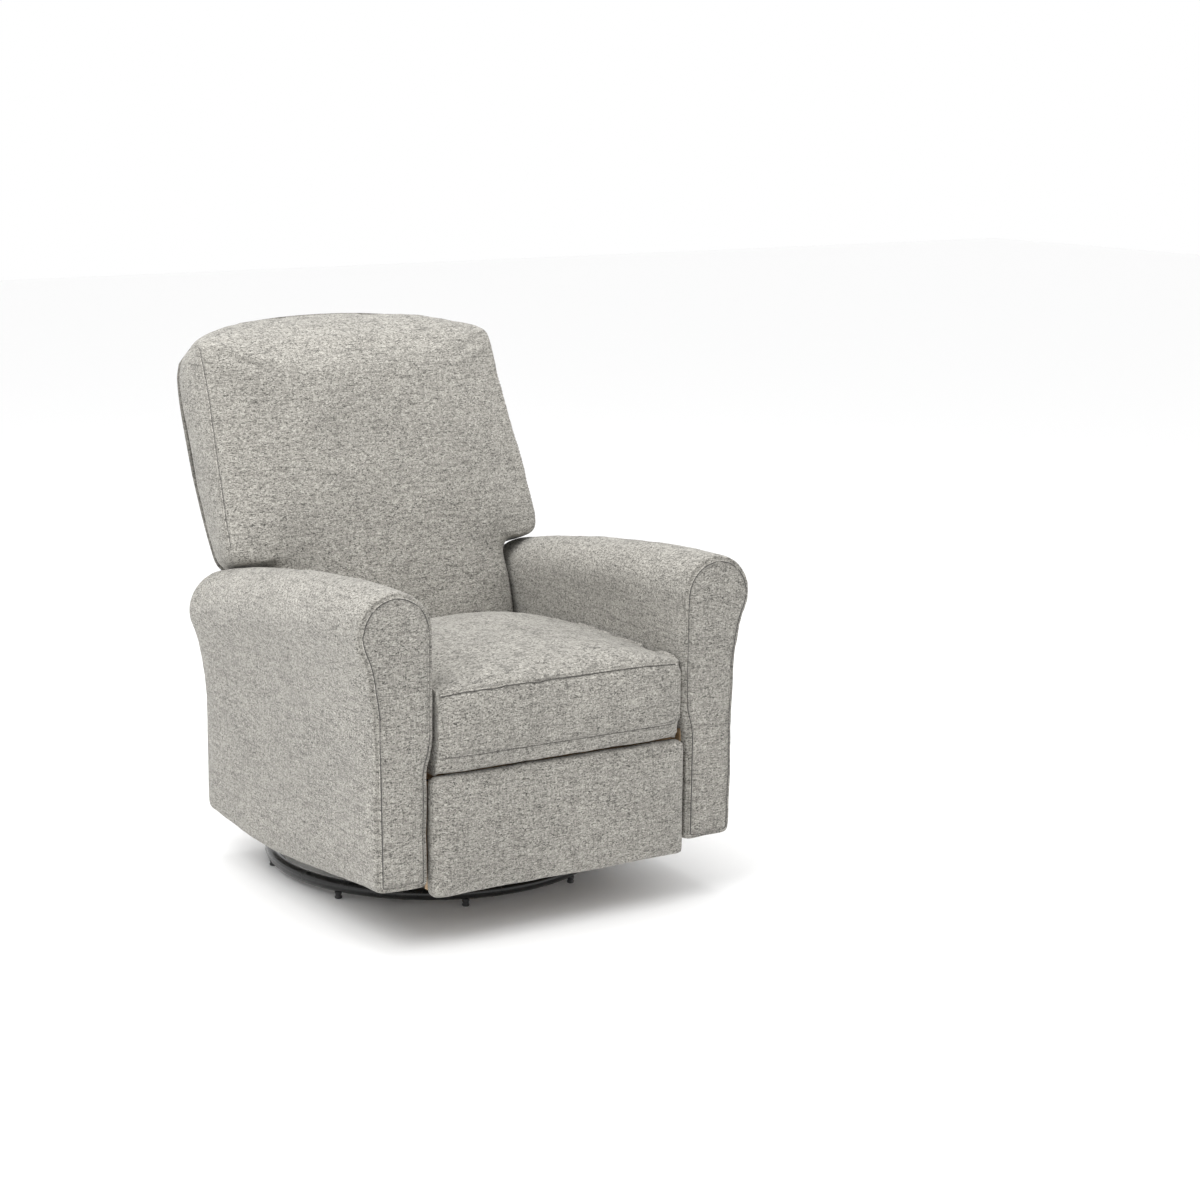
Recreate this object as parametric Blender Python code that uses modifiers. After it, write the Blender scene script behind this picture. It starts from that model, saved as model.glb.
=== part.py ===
"""Glider nursery chair: an upholstered armchair that swivels on a floor ring, glides on four
hanging links, reclines, and opens a footrest on a parallelogram linkage.

Metres, +Z up. The chair faces -Y and +X is its left-hand side. The origin is on the floor, on the
swivel axis. Every object is one piece of the chair.
"""

import math

import bmesh
import bpy
from mathutils import Matrix, Vector

# ---------------------------------------------------------------- driving sizes
GAP = 0.0003              # between pieces that touch
RUN = 0.0004              # radial clearance of a stud in its hole

# floor ring and swivel
RING_RADIUS = 0.322       # to the middle of the tube
RING_TUBE = 0.0125        # tube radius
RING_Z = 0.026
RING_FACETS = 48
FOOT_COUNT = 8
FOOT_RADIUS = 0.007
FOOT_START = math.radians(26.8)
SPIDER_WIDTH = 0.030
SPIDER_THICK = 0.014
HUB_RADIUS = 0.080
RACE_RADIUS = 0.090
RACE_THICK = 0.006
BALL_CIRCLE = 0.070
BALL_RADIUS = 0.005
BALL_COUNT = 8
RACE_SPACE = 0.0066       # between the two races
PIN_RADIUS = 0.008
TURNTABLE_SIDE = 0.240

# glider
HANGER_LENGTH = 0.100
HANGER_HALF_BASE = 0.110  # hangers stand this far before and behind the swivel axis
HANGER_TOP_Z = 0.195
HANGER_WIDTH = 0.022
STEEL = 0.005             # glider plate thickness
STUD_RADIUS = 0.005
LAYER_GAP = 0.0015
CARRIAGE_BAR = 0.026      # height of the rail that hangs on the links
UPRIGHT = 0.035           # width of its uprights

# body: widths
SEAT_WIDTH = 0.524        # between the arms, beside the seat cushion
ARM_INNER = SEAT_WIDTH / 2
ARM_INNER_LOW = ARM_INNER + 0.013         # beside the footrest
ARM_OUTER = ARM_INNER_LOW + 0.111
ROLL_RADIUS = 0.079
BOARD = 0.020             # arm board thickness
CUSHION_SIDE_GAP = 0.0015
SIDE_RAIL_WIDTH = 0.033
STAND_X = ARM_INNER - 0.094               # inner face of the glider stand
PLATE_X = ARM_INNER - 0.042               # inner face of the mechanism plate
LEVER_X = ARM_INNER - 0.009

# body: depths
ARM_FRONT_Y = -0.480
ARM_REAR_Y = 0.250
SEAT_FRONT_Y = ARM_FRONT_Y + 0.050        # front face of the front seat rail
SEAT_REAR_Y = 0.060                       # rear face of the rear seat rail
SEAT_RAIL_WIDTH = 0.040
CUSHION_FRONT_Y = ARM_FRONT_Y - 0.010
CARRIAGE_FRONT_Y, CARRIAGE_REAR_Y = -0.200, 0.055

# body: heights
SEAT_STEP_Z = 0.335       # top of the wooden seat rails
SEAT_RAIL_DEPTH = 0.035
SIDE_RAIL_LOW_Z = SEAT_STEP_Z - 0.070
CUSHION_LIFT = 0.007      # room for the springs under the cushion
LIP_BOTTOM_Z = SEAT_STEP_Z - 0.015
ROLL_FRONT_Z = SEAT_STEP_Z + 0.246        # centre of the arm roll at the front
ROLL_DROP = 0.102         # how far the roll's centre falls towards the rear
ARM_BOTTOM_FRONT = 0.112
ARM_BOTTOM_LOW = 0.078
SPRING_COUNT = 3
SPRING_WIRE = 0.002

# back
BACK_TILT = math.radians(24.0)
PIVOT_Y, PIVOT_Z = SEAT_REAR_Y + 0.070, SEAT_STEP_Z - 0.035
BACK_REAR_V = 0.024       # rear face of the back, behind the pivot line
BACK_LOW_HALF = ARM_INNER - 0.003         # half width between the arms
WING_HALF = ARM_INNER + 0.088             # half width over the arms
WING_U = ROLL_FRONT_Z - PIVOT_Z + 0.011   # where the back widens over the arms
BACK_TOP_U = WING_U + 0.5255
FRAME_FRONT_V, FRAME_REAR_V = -0.020, 0.016
POST_INNER = PLATE_X - 0.030
POST_LOW_U, POST_TOP_U = 0.060, BACK_TOP_U - 0.0475
BRACKET = 0.004
BRACKET_TOP_U = 0.330

# footrest
PAD_HALF = ARM_INNER_LOW - 0.0024
PAD_FRONT_Y = ARM_FRONT_Y - 0.015
PAD_REAR_Y = PAD_FRONT_Y + 0.040
PAD_LOW_Z, PAD_HIGH_Z = 0.091, LIP_BOTTOM_Z - 0.011
FOOT_BOARD = 0.015
LINK = 0.004              # footrest link thickness
LINK_ROUND = 0.011
DRIVE_LENGTH = 0.190
DRIVE_ANGLE = math.radians(-110)   # of the drive link when shut, from straight ahead
DRIVE_PIVOT = Vector((ARM_FRONT_Y + 0.120, SEAT_STEP_Z - 0.052))     # (y, z)
GUIDE_OFFSET = Vector((0.060, -0.013))    # guide pivot from drive pivot
PANEL_PIVOT = Vector((PAD_REAR_Y + 0.032, PAD_HIGH_Z - 0.044))
EAR_LENGTH = 0.032
EAR_ANGLE = math.radians(-84)      # of the ears the toggle links hold
LEVER_PIVOT = Vector((DRIVE_PIVOT[0] + 0.160, SEAT_STEP_Z - 0.085))
LEVER_TOP = LEVER_PIVOT + Vector((0.0, 0.265))

# layers of the footrest linkage, counted outwards from the mechanism plate (inner face of each)
LAYER_TOGGLE = PLATE_X + LINK + LAYER_GAP
LAYER_DRIVE = LAYER_TOGGLE + LINK + LAYER_GAP
LAYER_CARRIER = LAYER_DRIVE + LINK + LAYER_GAP

# layers of the glider, counted outwards from the stand
HANGER_X = STAND_X + STEEL + LAYER_GAP
CARRIAGE_X = HANGER_X + STEEL + LAYER_GAP

# heights that stack up from the ring
SPIDER_TOP = RING_Z + SPIDER_THICK / 2 + 0.001
SPIDER_LOW = SPIDER_TOP - SPIDER_THICK
LOWER_RACE_Z = SPIDER_TOP + GAP
BALL_Z = LOWER_RACE_Z + RACE_THICK + RACE_SPACE / 2
UPPER_RACE_Z = BALL_Z + RACE_SPACE / 2
STAND_Z = UPPER_RACE_Z + RACE_THICK + GAP
HANGER_LOW_Z = HANGER_TOP_Z - HANGER_LENGTH
CARRIAGE_END_Y = HANGER_HALF_BASE + 0.065  # rear end of the rail that hangs on the links

SIDES = (("left", 1.0), ("right", -1.0))

# ---------------------------------------------------------------- scene helpers
for old in list(bpy.data.objects):
    bpy.data.objects.remove(old, do_unlink=True)

chair = bpy.data.collections.new("glider_chair")
cutters = bpy.data.collections.new("cutters")
bpy.context.scene.collection.children.link(chair)
bpy.context.scene.collection.children.link(cutters)


def material(name, colour, roughness, metallic=0.0):
    made = bpy.data.materials.new(name)
    made.use_nodes = True
    shader = made.node_tree.nodes["Principled BSDF"]
    shader.inputs["Base Color"].default_value = (*colour, 1.0)
    shader.inputs["Roughness"].default_value = roughness
    shader.inputs["Metallic"].default_value = metallic
    return made


FABRIC = material("grey_chenille", (0.46, 0.44, 0.40), 0.95)
WOOD = material("hardwood", (0.55, 0.40, 0.24), 0.6)
BLACK_STEEL = material("black_steel", (0.012, 0.012, 0.013), 0.35, 0.6)
ZINC_STEEL = material("zinc_steel", (0.45, 0.45, 0.46), 0.4, 1.0)
SPRING_STEEL = material("spring_steel", (0.25, 0.25, 0.26), 0.35, 1.0)
GLIDE_PLASTIC = material("black_plastic", (0.02, 0.02, 0.02), 0.5)


def add(obj, finish, group=chair):
    """Puts an object in a collection with its material."""
    for other in list(obj.users_collection):
        other.objects.unlink(obj)
    group.objects.link(obj)
    if finish is not None:
        obj.data.materials.clear()
        obj.data.materials.append(finish)
    return obj


def helper(obj):
    """Marks an object as a cutter or a part that a Boolean joins on."""
    add(obj, None, cutters)
    obj.hide_render = True
    obj.display_type = "WIRE"
    return obj


def boolean(target, other, operation):
    modifier = target.modifiers.new(other.name, "BOOLEAN")
    modifier.operation = operation
    modifier.object = other
    return target


def from_bmesh(name, mesh):
    bmesh.ops.recalc_face_normals(mesh, faces=mesh.faces[:])
    data = bpy.data.meshes.new(name)
    mesh.to_mesh(data)
    mesh.free()
    return bpy.data.objects.new(name, data)


def box(name, low, high):
    """A box between two corners."""
    mesh = bmesh.new()
    bmesh.ops.create_cube(mesh, size=1.0)
    size = [b - a for a, b in zip(low, high)]
    middle = [(a + b) / 2 for a, b in zip(low, high)]
    bmesh.ops.scale(mesh, vec=size, verts=mesh.verts[:])
    bmesh.ops.translate(mesh, vec=middle, verts=mesh.verts[:])
    return from_bmesh(name, mesh)


def side_box(name, side, near_x, far_x, low_yz, high_yz):
    """A box on one side of the chair, between two distances from the middle."""
    low_x, high_x = sorted((side * near_x, side * far_x))
    return box(name, (low_x, *low_yz), (high_x, *high_yz))


def round_edges(obj, width, segments=2):
    bevel = obj.modifiers.new("round_edges", "BEVEL")
    bevel.width = width
    bevel.segments = segments
    bevel.limit_method = "ANGLE"
    bevel.angle_limit = math.radians(50)
    return obj


def rod(name, radius, start, end, facets=16):
    """A cylinder between two points."""
    start, end = Vector(start), Vector(end)
    mesh = bmesh.new()
    bmesh.ops.create_cone(
        mesh, cap_ends=True, segments=facets, radius1=radius, radius2=radius,
        depth=(end - start).length,
    )
    turn = (end - start).to_track_quat("Z", "Y").to_matrix().to_4x4()
    bmesh.ops.transform(mesh, matrix=Matrix.Translation((start + end) / 2) @ turn, verts=mesh.verts[:])
    made = from_bmesh(name, mesh)
    made.data.shade_smooth()
    made.data.set_sharp_from_angle(angle=math.radians(40))
    return made


def circle(centre, radius, facets=16):
    return [
        centre + radius * Vector((math.cos(turn), math.sin(turn)))
        for turn in (2 * math.pi * i / facets for i in range(facets))
    ]


def hull(points):
    """The convex outline round some points, anticlockwise."""
    points = sorted({(round(p[0], 6), round(p[1], 6)) for p in points})

    def half(ordered):
        chain = []
        for p in ordered:
            while len(chain) > 1 and (
                (chain[-1][0] - chain[-2][0]) * (p[1] - chain[-2][1])
                - (chain[-1][1] - chain[-2][1]) * (p[0] - chain[-2][0])
            ) <= 0:
                chain.pop()
            chain.append(p)
        return chain[:-1]

    return half(points) + half(points[::-1])


def plate(name, side, inner_x, thickness, outline, holes=()):
    """A flat plate in the chair's side plane: outline and holes are (y, z) points."""
    curve = bpy.data.curves.new(name, "CURVE")
    curve.dimensions = "2D"
    curve.fill_mode = "BOTH"
    curve.extrude = thickness / 2
    for ring in (outline, *holes):
        spline = curve.splines.new("POLY")
        spline.points.add(len(ring) - 1)
        for point, (y, z) in zip(spline.points, ring):
            point.co = (y, z, 0.0, 1.0)
        spline.use_cyclic_u = True
    obj = bpy.data.objects.new(name, curve)
    obj.location = (side * (inner_x + thickness / 2), 0.0, 0.0)
    obj.rotation_euler = (math.pi / 2, 0.0, math.pi / 2)
    return solid_mesh(obj)


def solid_mesh(obj):
    """A curve object made into a mesh object with its caps joined on."""
    bpy.context.scene.collection.objects.link(obj)
    bpy.context.view_layer.update()
    graph = bpy.context.evaluated_depsgraph_get()
    data = bpy.data.meshes.new_from_object(obj.evaluated_get(graph))
    name, matrix = obj.name, obj.matrix_world.copy()
    bpy.data.objects.remove(obj)
    mesh = bmesh.new()
    mesh.from_mesh(data)
    bmesh.ops.remove_doubles(mesh, verts=mesh.verts[:], dist=0.00002)
    bmesh.ops.recalc_face_normals(mesh, faces=mesh.faces[:])
    mesh.to_mesh(data)
    mesh.free()
    data.transform(matrix)
    made = bpy.data.objects.new(name, data)
    return made


def stud(target, side, centre, from_x, to_x, radius=STUD_RADIUS):
    """Joins a pin onto a plate, along X, between two distances from the chair's middle."""
    pin = rod(
        f"{target.name}_stud_{len(target.modifiers)}", radius,
        (side * from_x, *centre), (side * to_x, *centre),
    )
    return boolean(target, helper(pin), "UNION")


def loft(name, sections):
    """A closed solid through sections that have the same number of points."""
    mesh = bmesh.new()
    rings = [[mesh.verts.new(p) for p in section] for section in sections]
    count = len(rings[0])
    for near, far in zip(rings, rings[1:]):
        for i in range(count):
            j = (i + 1) % count
            mesh.faces.new((near[i], near[j], far[j], far[i]))
    mesh.faces.new(rings[0][::-1])
    mesh.faces.new(rings[-1])
    return from_bmesh(name, mesh)


def smooth_step(t):
    t = min(1.0, max(0.0, t))
    return t * t * (3 - 2 * t)


# ---------------------------------------------------------------- floor ring and swivel
def make_floor_ring():
    mesh_name = "floor_ring"
    bpy.ops.mesh.primitive_torus_add(
        major_radius=RING_RADIUS, minor_radius=RING_TUBE,
        major_segments=RING_FACETS, minor_segments=10, location=(0, 0, RING_Z),
    )
    ring = bpy.context.active_object
    ring.name = mesh_name
    ring.data.shade_smooth()
    add(ring, BLACK_STEEL)
    foot_top = RING_Z - RING_TUBE - GAP
    for i in range(FOOT_COUNT):
        turn = FOOT_START + 2 * math.pi * i / FOOT_COUNT
        x, y = RING_RADIUS * math.cos(turn), RING_RADIUS * math.sin(turn)
        foot = rod(f"ring_foot_{i + 1}", FOOT_RADIUS, (x, y, 0.0), (x, y, foot_top), 12)
        add(foot, GLIDE_PLASTIC)


def make_spider():
    """The cross under the swivel: two flat bars and a hub, welded inside the ring."""
    reach = (RING_RADIUS - RING_TUBE) * math.cos(math.pi / RING_FACETS) - 0.0006
    hub = rod("ring_spider", HUB_RADIUS, (0, 0, SPIDER_LOW), (0, 0, SPIDER_TOP), 32)
    for i in range(2):
        bar = box(
            f"spider_bar_{i}",
            (-reach, -SPIDER_WIDTH / 2, SPIDER_LOW), (reach, SPIDER_WIDTH / 2, SPIDER_TOP),
        )
        turn = math.radians(45 + 90 * i)
        bar.data.transform(Matrix.Rotation(turn, 4, "Z"))
        boolean(hub, helper(bar), "UNION")
    bore = rod("spider_bore", PIN_RADIUS + RUN, (0, 0, -0.01), (0, 0, 0.1))
    boolean(hub, helper(bore), "DIFFERENCE")
    add(hub, BLACK_STEEL)


def ball_groove(name):
    """The ring that cuts the ball groove in both races."""
    bpy.ops.mesh.primitive_torus_add(
        major_radius=BALL_CIRCLE, minor_radius=BALL_RADIUS + GAP,
        major_segments=32, minor_segments=12, location=(0, 0, BALL_Z),
    )
    groove = bpy.context.active_object
    groove.name = name
    return helper(groove)


def make_bearing():
    lower = rod(
        "lower_race", RACE_RADIUS, (0, 0, LOWER_RACE_Z), (0, 0, LOWER_RACE_Z + RACE_THICK), 32
    )
    upper = box(
        "turntable_plate",
        (-TURNTABLE_SIDE / 2, -TURNTABLE_SIDE / 2, UPPER_RACE_Z),
        (TURNTABLE_SIDE / 2, TURNTABLE_SIDE / 2, UPPER_RACE_Z + RACE_THICK),
    )
    for race in (lower, upper):
        boolean(race, ball_groove(race.name + "_groove"), "DIFFERENCE")
        bore = rod(race.name + "_bore", PIN_RADIUS + RUN, (0, 0, 0), (0, 0, 0.1))
        boolean(race, helper(bore), "DIFFERENCE")
        add(race, ZINC_STEEL)
    cage_half = 0.0008
    cage = rod(
        "ball_cage", BALL_CIRCLE + 0.009, (0, 0, BALL_Z - cage_half), (0, 0, BALL_Z + cage_half), 32
    )
    opening = rod(
        "cage_opening", BALL_CIRCLE - 0.025, (0, 0, BALL_Z - 0.01), (0, 0, BALL_Z + 0.01), 32
    )
    boolean(cage, helper(opening), "DIFFERENCE")
    for i in range(BALL_COUNT):
        turn = 2 * math.pi * i / BALL_COUNT
        mesh = bmesh.new()
        bmesh.ops.create_uvsphere(mesh, u_segments=8, v_segments=6, radius=BALL_RADIUS)
        place = Vector((math.cos(turn), math.sin(turn), 0)) * BALL_CIRCLE + Vector((0, 0, BALL_Z))
        bmesh.ops.translate(mesh, vec=place, verts=mesh.verts[:])
        boolean(cage, helper(from_bmesh(f"ball_{i}", mesh)), "UNION")
    add(cage, ZINC_STEEL)
    head = 0.0045
    low, high = SPIDER_LOW - GAP, STAND_Z + GAP
    pin = rod("king_pin", PIN_RADIUS, (0, 0, low - head), (0, 0, high + head))
    for name, z in (("pin_foot", low - head), ("pin_head", high)):
        boolean(pin, helper(rod(name, PIN_RADIUS * 2, (0, 0, z), (0, 0, z + head))), "UNION")
    add(pin, ZINC_STEEL)


# ---------------------------------------------------------------- glider
def make_glider():
    half_base = HANGER_HALF_BASE
    top = [Vector((end * half_base, HANGER_TOP_Z)) for end in (-1, 1)]
    low = [Vector((end * half_base, HANGER_LOW_Z)) for end in (-1, 1)]
    hanger_round = HANGER_WIDTH / 2
    for label, side in SIDES:
        foot = [(-half_base + 0.02, STAND_Z), (half_base - 0.02, STAND_Z)]
        outline = hull([*circle(top[0], hanger_round), *circle(top[1], hanger_round), *foot])
        stand = plate(f"glide_stand_{label}", side, STAND_X, STEEL, outline)
        flange = side_box(
            f"stand_flange_{label}", side, TURNTABLE_SIDE / 2 - 0.020, STAND_X + STEEL / 2,
            (-half_base + 0.025, STAND_Z), (half_base - 0.025, STAND_Z + 0.004),
        )
        boolean(stand, helper(flange), "UNION")
        for centre in top:
            stud(stand, side, centre, STAND_X + STEEL / 2, CARRIAGE_X - 0.0007)
        add(stand, BLACK_STEEL)

        for name, upper, lower in zip(("front", "rear"), top, low):
            outline = hull([*circle(upper, hanger_round), *circle(lower, hanger_round)])
            holes = [circle(c, STUD_RADIUS + RUN) for c in (upper, lower)]
            hanger = plate(f"hanger_{name}_{label}", side, HANGER_X, STEEL, outline, holes)
            add(hanger, ZINC_STEEL)

        add(make_carriage_rail(label, side, low), BLACK_STEEL)
    tie_half, tie_y, tie_z = CARRIAGE_X - GAP, CARRIAGE_FRONT_Y + UPRIGHT / 2, HANGER_TOP_Z + 0.040
    tie = rod("carriage_tie", 0.008, (-tie_half, tie_y, tie_z), (tie_half, tie_y, tie_z))
    add(tie, BLACK_STEEL)


def make_carriage_rail(label, side, pivots):
    """The U of steel that hangs on two links and carries a seat rail on its uprights."""
    low = HANGER_LOW_Z - CARRIAGE_BAR / 2
    high = HANGER_LOW_Z + CARRIAGE_BAR / 2
    top = SEAT_STEP_Z - SEAT_RAIL_DEPTH - GAP
    front, rear = CARRIAGE_FRONT_Y, CARRIAGE_END_Y
    outline = [
        (front, low), (rear, low), (rear, high + 0.030), (rear - UPRIGHT, high),
        (CARRIAGE_REAR_Y, high), (CARRIAGE_REAR_Y, top), (CARRIAGE_REAR_Y - UPRIGHT, top),
        (CARRIAGE_REAR_Y - UPRIGHT, high), (front + UPRIGHT, high), (front + UPRIGHT, top), (front, top),
    ]
    rail = plate(f"carriage_rail_{label}", side, CARRIAGE_X, STEEL, outline)
    for centre in pivots:
        stud(rail, side, centre, CARRIAGE_X + STEEL / 2, STAND_X + STEEL + 0.0007)
    return rail


# ---------------------------------------------------------------- body
def roll_height(y):
    """Height of the arm roll's centre: nearly level in front, falling away to the rear."""
    along = (y - ARM_FRONT_Y) / (ARM_REAR_Y - ARM_FRONT_Y)
    return ROLL_FRONT_Z - ROLL_DROP * along**2.5


def arm_bottom(y):
    along = (y - ARM_FRONT_Y) / (ARM_REAR_Y - ARM_FRONT_Y)
    return ARM_BOTTOM_FRONT + (ARM_BOTTOM_LOW - ARM_BOTTOM_FRONT) * smooth_step(along / 0.7)


def arm_section(y, shrink=0.0):
    """(x, z) outline of the left arm at one place along it: inner wall, roll, neck and outer wall."""
    z, bottom = roll_height(y), arm_bottom(y)
    roll_x = ARM_INNER + ROLL_RADIUS
    points = [(ARM_INNER_LOW, bottom), (ARM_INNER_LOW, SEAT_STEP_Z), (ARM_INNER, SEAT_STEP_Z + 0.025)]
    steps, last = 12, math.radians(-40)
    for i in range(steps + 1):
        turn = math.pi + (last - math.pi) * i / steps
        points.append((roll_x + ROLL_RADIUS * math.cos(turn), z + ROLL_RADIUS * math.sin(turn)))
    points += [(ARM_OUTER + 0.006, z - 0.078), (ARM_OUTER, z - 0.115), (ARM_OUTER, bottom)]
    middle_x, middle_z = (ARM_INNER_LOW + ARM_OUTER) / 2, (z + bottom) / 2
    return [
        (middle_x + (px - middle_x) * (1 - 3 * shrink), y, middle_z + (pz - middle_z) * (1 - shrink))
        for px, pz in points
    ]


def make_arms():
    stations = [ARM_FRONT_Y + (ARM_REAR_Y - 0.02 - ARM_FRONT_Y) * i / 8 for i in range(9)]
    sections = [arm_section(y) for y in stations] + [arm_section(ARM_REAR_Y, 0.045)]
    board_top = SEAT_STEP_Z
    board_y = (ARM_FRONT_Y + 0.020, ARM_REAR_Y - 0.020)
    for label, side in SIDES:
        pad = loft(f"arm_pad_{label}", [[(side * x, y, z) for x, y, z in ring] for ring in sections])
        pocket = side_box(
            f"arm_pocket_{label}", side, ARM_INNER_LOW - 0.02, ARM_INNER_LOW + BOARD + 2 * GAP,
            (board_y[0] - GAP, 0.0), (board_y[1] + GAP, board_top + GAP),
        )
        boolean(pad, helper(pocket), "DIFFERENCE")
        add(pad, FABRIC)
        board = side_box(
            f"arm_frame_{label}", side, ARM_INNER_LOW + GAP, ARM_INNER_LOW + GAP + BOARD,
            (board_y[0], ARM_BOTTOM_FRONT + 0.012), (board_y[1], board_top),
        )
        add(board, WOOD)


def make_seat_frame():
    rail_half = ARM_INNER_LOW - GAP
    low = SEAT_STEP_Z - SEAT_RAIL_DEPTH
    ends = {
        "front": (SEAT_FRONT_Y, SEAT_FRONT_Y + SEAT_RAIL_WIDTH),
        "rear": (SEAT_REAR_Y - SEAT_RAIL_WIDTH, SEAT_REAR_Y),
    }
    for name, (y0, y1) in ends.items():
        add(box(f"seat_rail_{name}", (-rail_half, y0, low), (rail_half, y1, SEAT_STEP_Z)), WOOD)
    side_x = CARRIAGE_X + STEEL + GAP
    for label, side in SIDES:
        rail = side_box(
            f"seat_rail_{label}", side, side_x, side_x + SIDE_RAIL_WIDTH,
            (SEAT_FRONT_Y + SEAT_RAIL_WIDTH + GAP, SIDE_RAIL_LOW_Z),
            (SEAT_REAR_Y - SEAT_RAIL_WIDTH - GAP, SEAT_STEP_Z),
        )
        add(rail, WOOD)
    panel_front = ARM_REAR_Y - 0.032
    body_rail = box(
        "body_rail_rear", (-rail_half, CARRIAGE_END_Y + GAP, 0.140), (rail_half, panel_front - GAP, 0.200)
    )
    add(body_rail, WOOD)
    rear_panel = box(
        "rear_panel", (-rail_half, panel_front, 0.100), (rail_half, ARM_REAR_Y - 0.003, LIP_BOTTOM_Z)
    )
    add(round_edges(rear_panel, 0.010), FABRIC)


def make_springs():
    """Sinuous wires between the front and rear rails, under the cushion."""
    start, end = SEAT_FRONT_Y + 0.010, SEAT_REAR_Y - 0.010
    waves, per_wave, swing = 6, 8, 0.026
    z = SEAT_STEP_Z + SPRING_WIRE + GAP
    for i in range(SPRING_COUNT):
        curve = bpy.data.curves.new(f"seat_spring_{i + 1}", "CURVE")
        curve.dimensions = "3D"
        curve.bevel_depth = SPRING_WIRE
        curve.bevel_resolution = 1
        curve.use_fill_caps = True
        spline = curve.splines.new("POLY")
        count = waves * per_wave
        spline.points.add(count)
        x = 0.115 * (i - (SPRING_COUNT - 1) / 2)
        for k, point in enumerate(spline.points):
            turn = 2 * math.pi * k / per_wave
            y = start + (end - start) * k / count
            point.co = (x + swing * math.sin(turn), y, z, 1.0)
        obj = bpy.data.objects.new(f"seat_spring_{i + 1}", curve)
        add(solid_mesh(obj), SPRING_STEEL)


def make_seat_cushion():
    """The seat with its front lip, which hangs over the front rail."""
    front, lip = CUSHION_FRONT_Y, LIP_BOTTOM_Z
    under = SEAT_STEP_Z + CUSHION_LIFT
    lip_rear = SEAT_FRONT_Y - 0.0025
    rear = SEAT_REAR_Y - 0.003
    outline = [
        (front + 0.008, lip), (front, lip + 0.050), (front + 0.002, lip + 0.115),
        (front + 0.012, lip + 0.145), (front + 0.035, lip + 0.163), (front + 0.130, lip + 0.178),
        (front + 0.280, lip + 0.182), (front + 0.430, lip + 0.174), (rear, lip + 0.155),
        (rear, under), (lip_rear, under), (lip_rear, lip),
    ]
    half = ARM_INNER - CUSHION_SIDE_GAP
    curve_side = plate("seat_cushion", 1.0, -half, 2 * half, outline)
    slot = box(
        "lever_slot", (-half - 0.01, LEVER_PIVOT[0] - 0.025, LIP_BOTTOM_Z - 0.02),
        (-LEVER_X + 0.0015, LEVER_PIVOT[0] + 0.115, LEVER_TOP[1] + 0.045),
    )
    boolean(curve_side, helper(slot), "DIFFERENCE")
    add(curve_side, FABRIC)


# ---------------------------------------------------------------- back
def back_point(x, u, v):
    """A point of the back: u runs up it from the pivot and v runs out of its rear face."""
    y = PIVOT_Y + u * math.sin(BACK_TILT) + v * math.cos(BACK_TILT)
    z = PIVOT_Z + u * math.cos(BACK_TILT) - v * math.sin(BACK_TILT)
    return Vector((x, y, z))


def back_box(name, low, high):
    """A box whose corners are (x, u, v), leaning with the back."""
    made = box(name, low, high)
    lean = Matrix.Rotation(-BACK_TILT, 4, "X")
    swap = Matrix(((1, 0, 0, 0), (0, 0, 1, 0), (0, 1, 0, 0), (0, 0, 0, 1)))
    made.data.transform(Matrix.Translation((0, PIVOT_Y, PIVOT_Z)) @ lean @ swap)
    made.data.flip_normals()
    return made


def back_section(u, front_half, rear_half, front_v):
    """A slice across the back: square at the rear, rounded at the front corners, slightly crowned."""
    corner = 0.030
    half = [
        (rear_half, BACK_REAR_V), ((rear_half + front_half) / 2, (BACK_REAR_V + front_v) / 2),
        (front_half, front_v + corner), (front_half - 0.3 * corner, front_v + 0.3 * corner),
        (front_half - corner, front_v), (0.5 * front_half, front_v - 0.006),
    ]
    points = half + [(0.0, front_v - 0.008)] + [(-x, v) for x, v in half[::-1]]
    return [back_point(x, u, v) for x, v in points]


def recess(cushion, name, low, high, front):
    """Cuts room for a piece of the back out of the cushion, open at the rear."""
    low = (low[0] - GAP, low[1] - GAP, front - GAP)
    high = (high[0] + GAP, high[1] + GAP, BACK_REAR_V + 0.02)
    boolean(cushion, helper(back_box(f"recess_{name}", low, high)), "DIFFERENCE")


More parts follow.
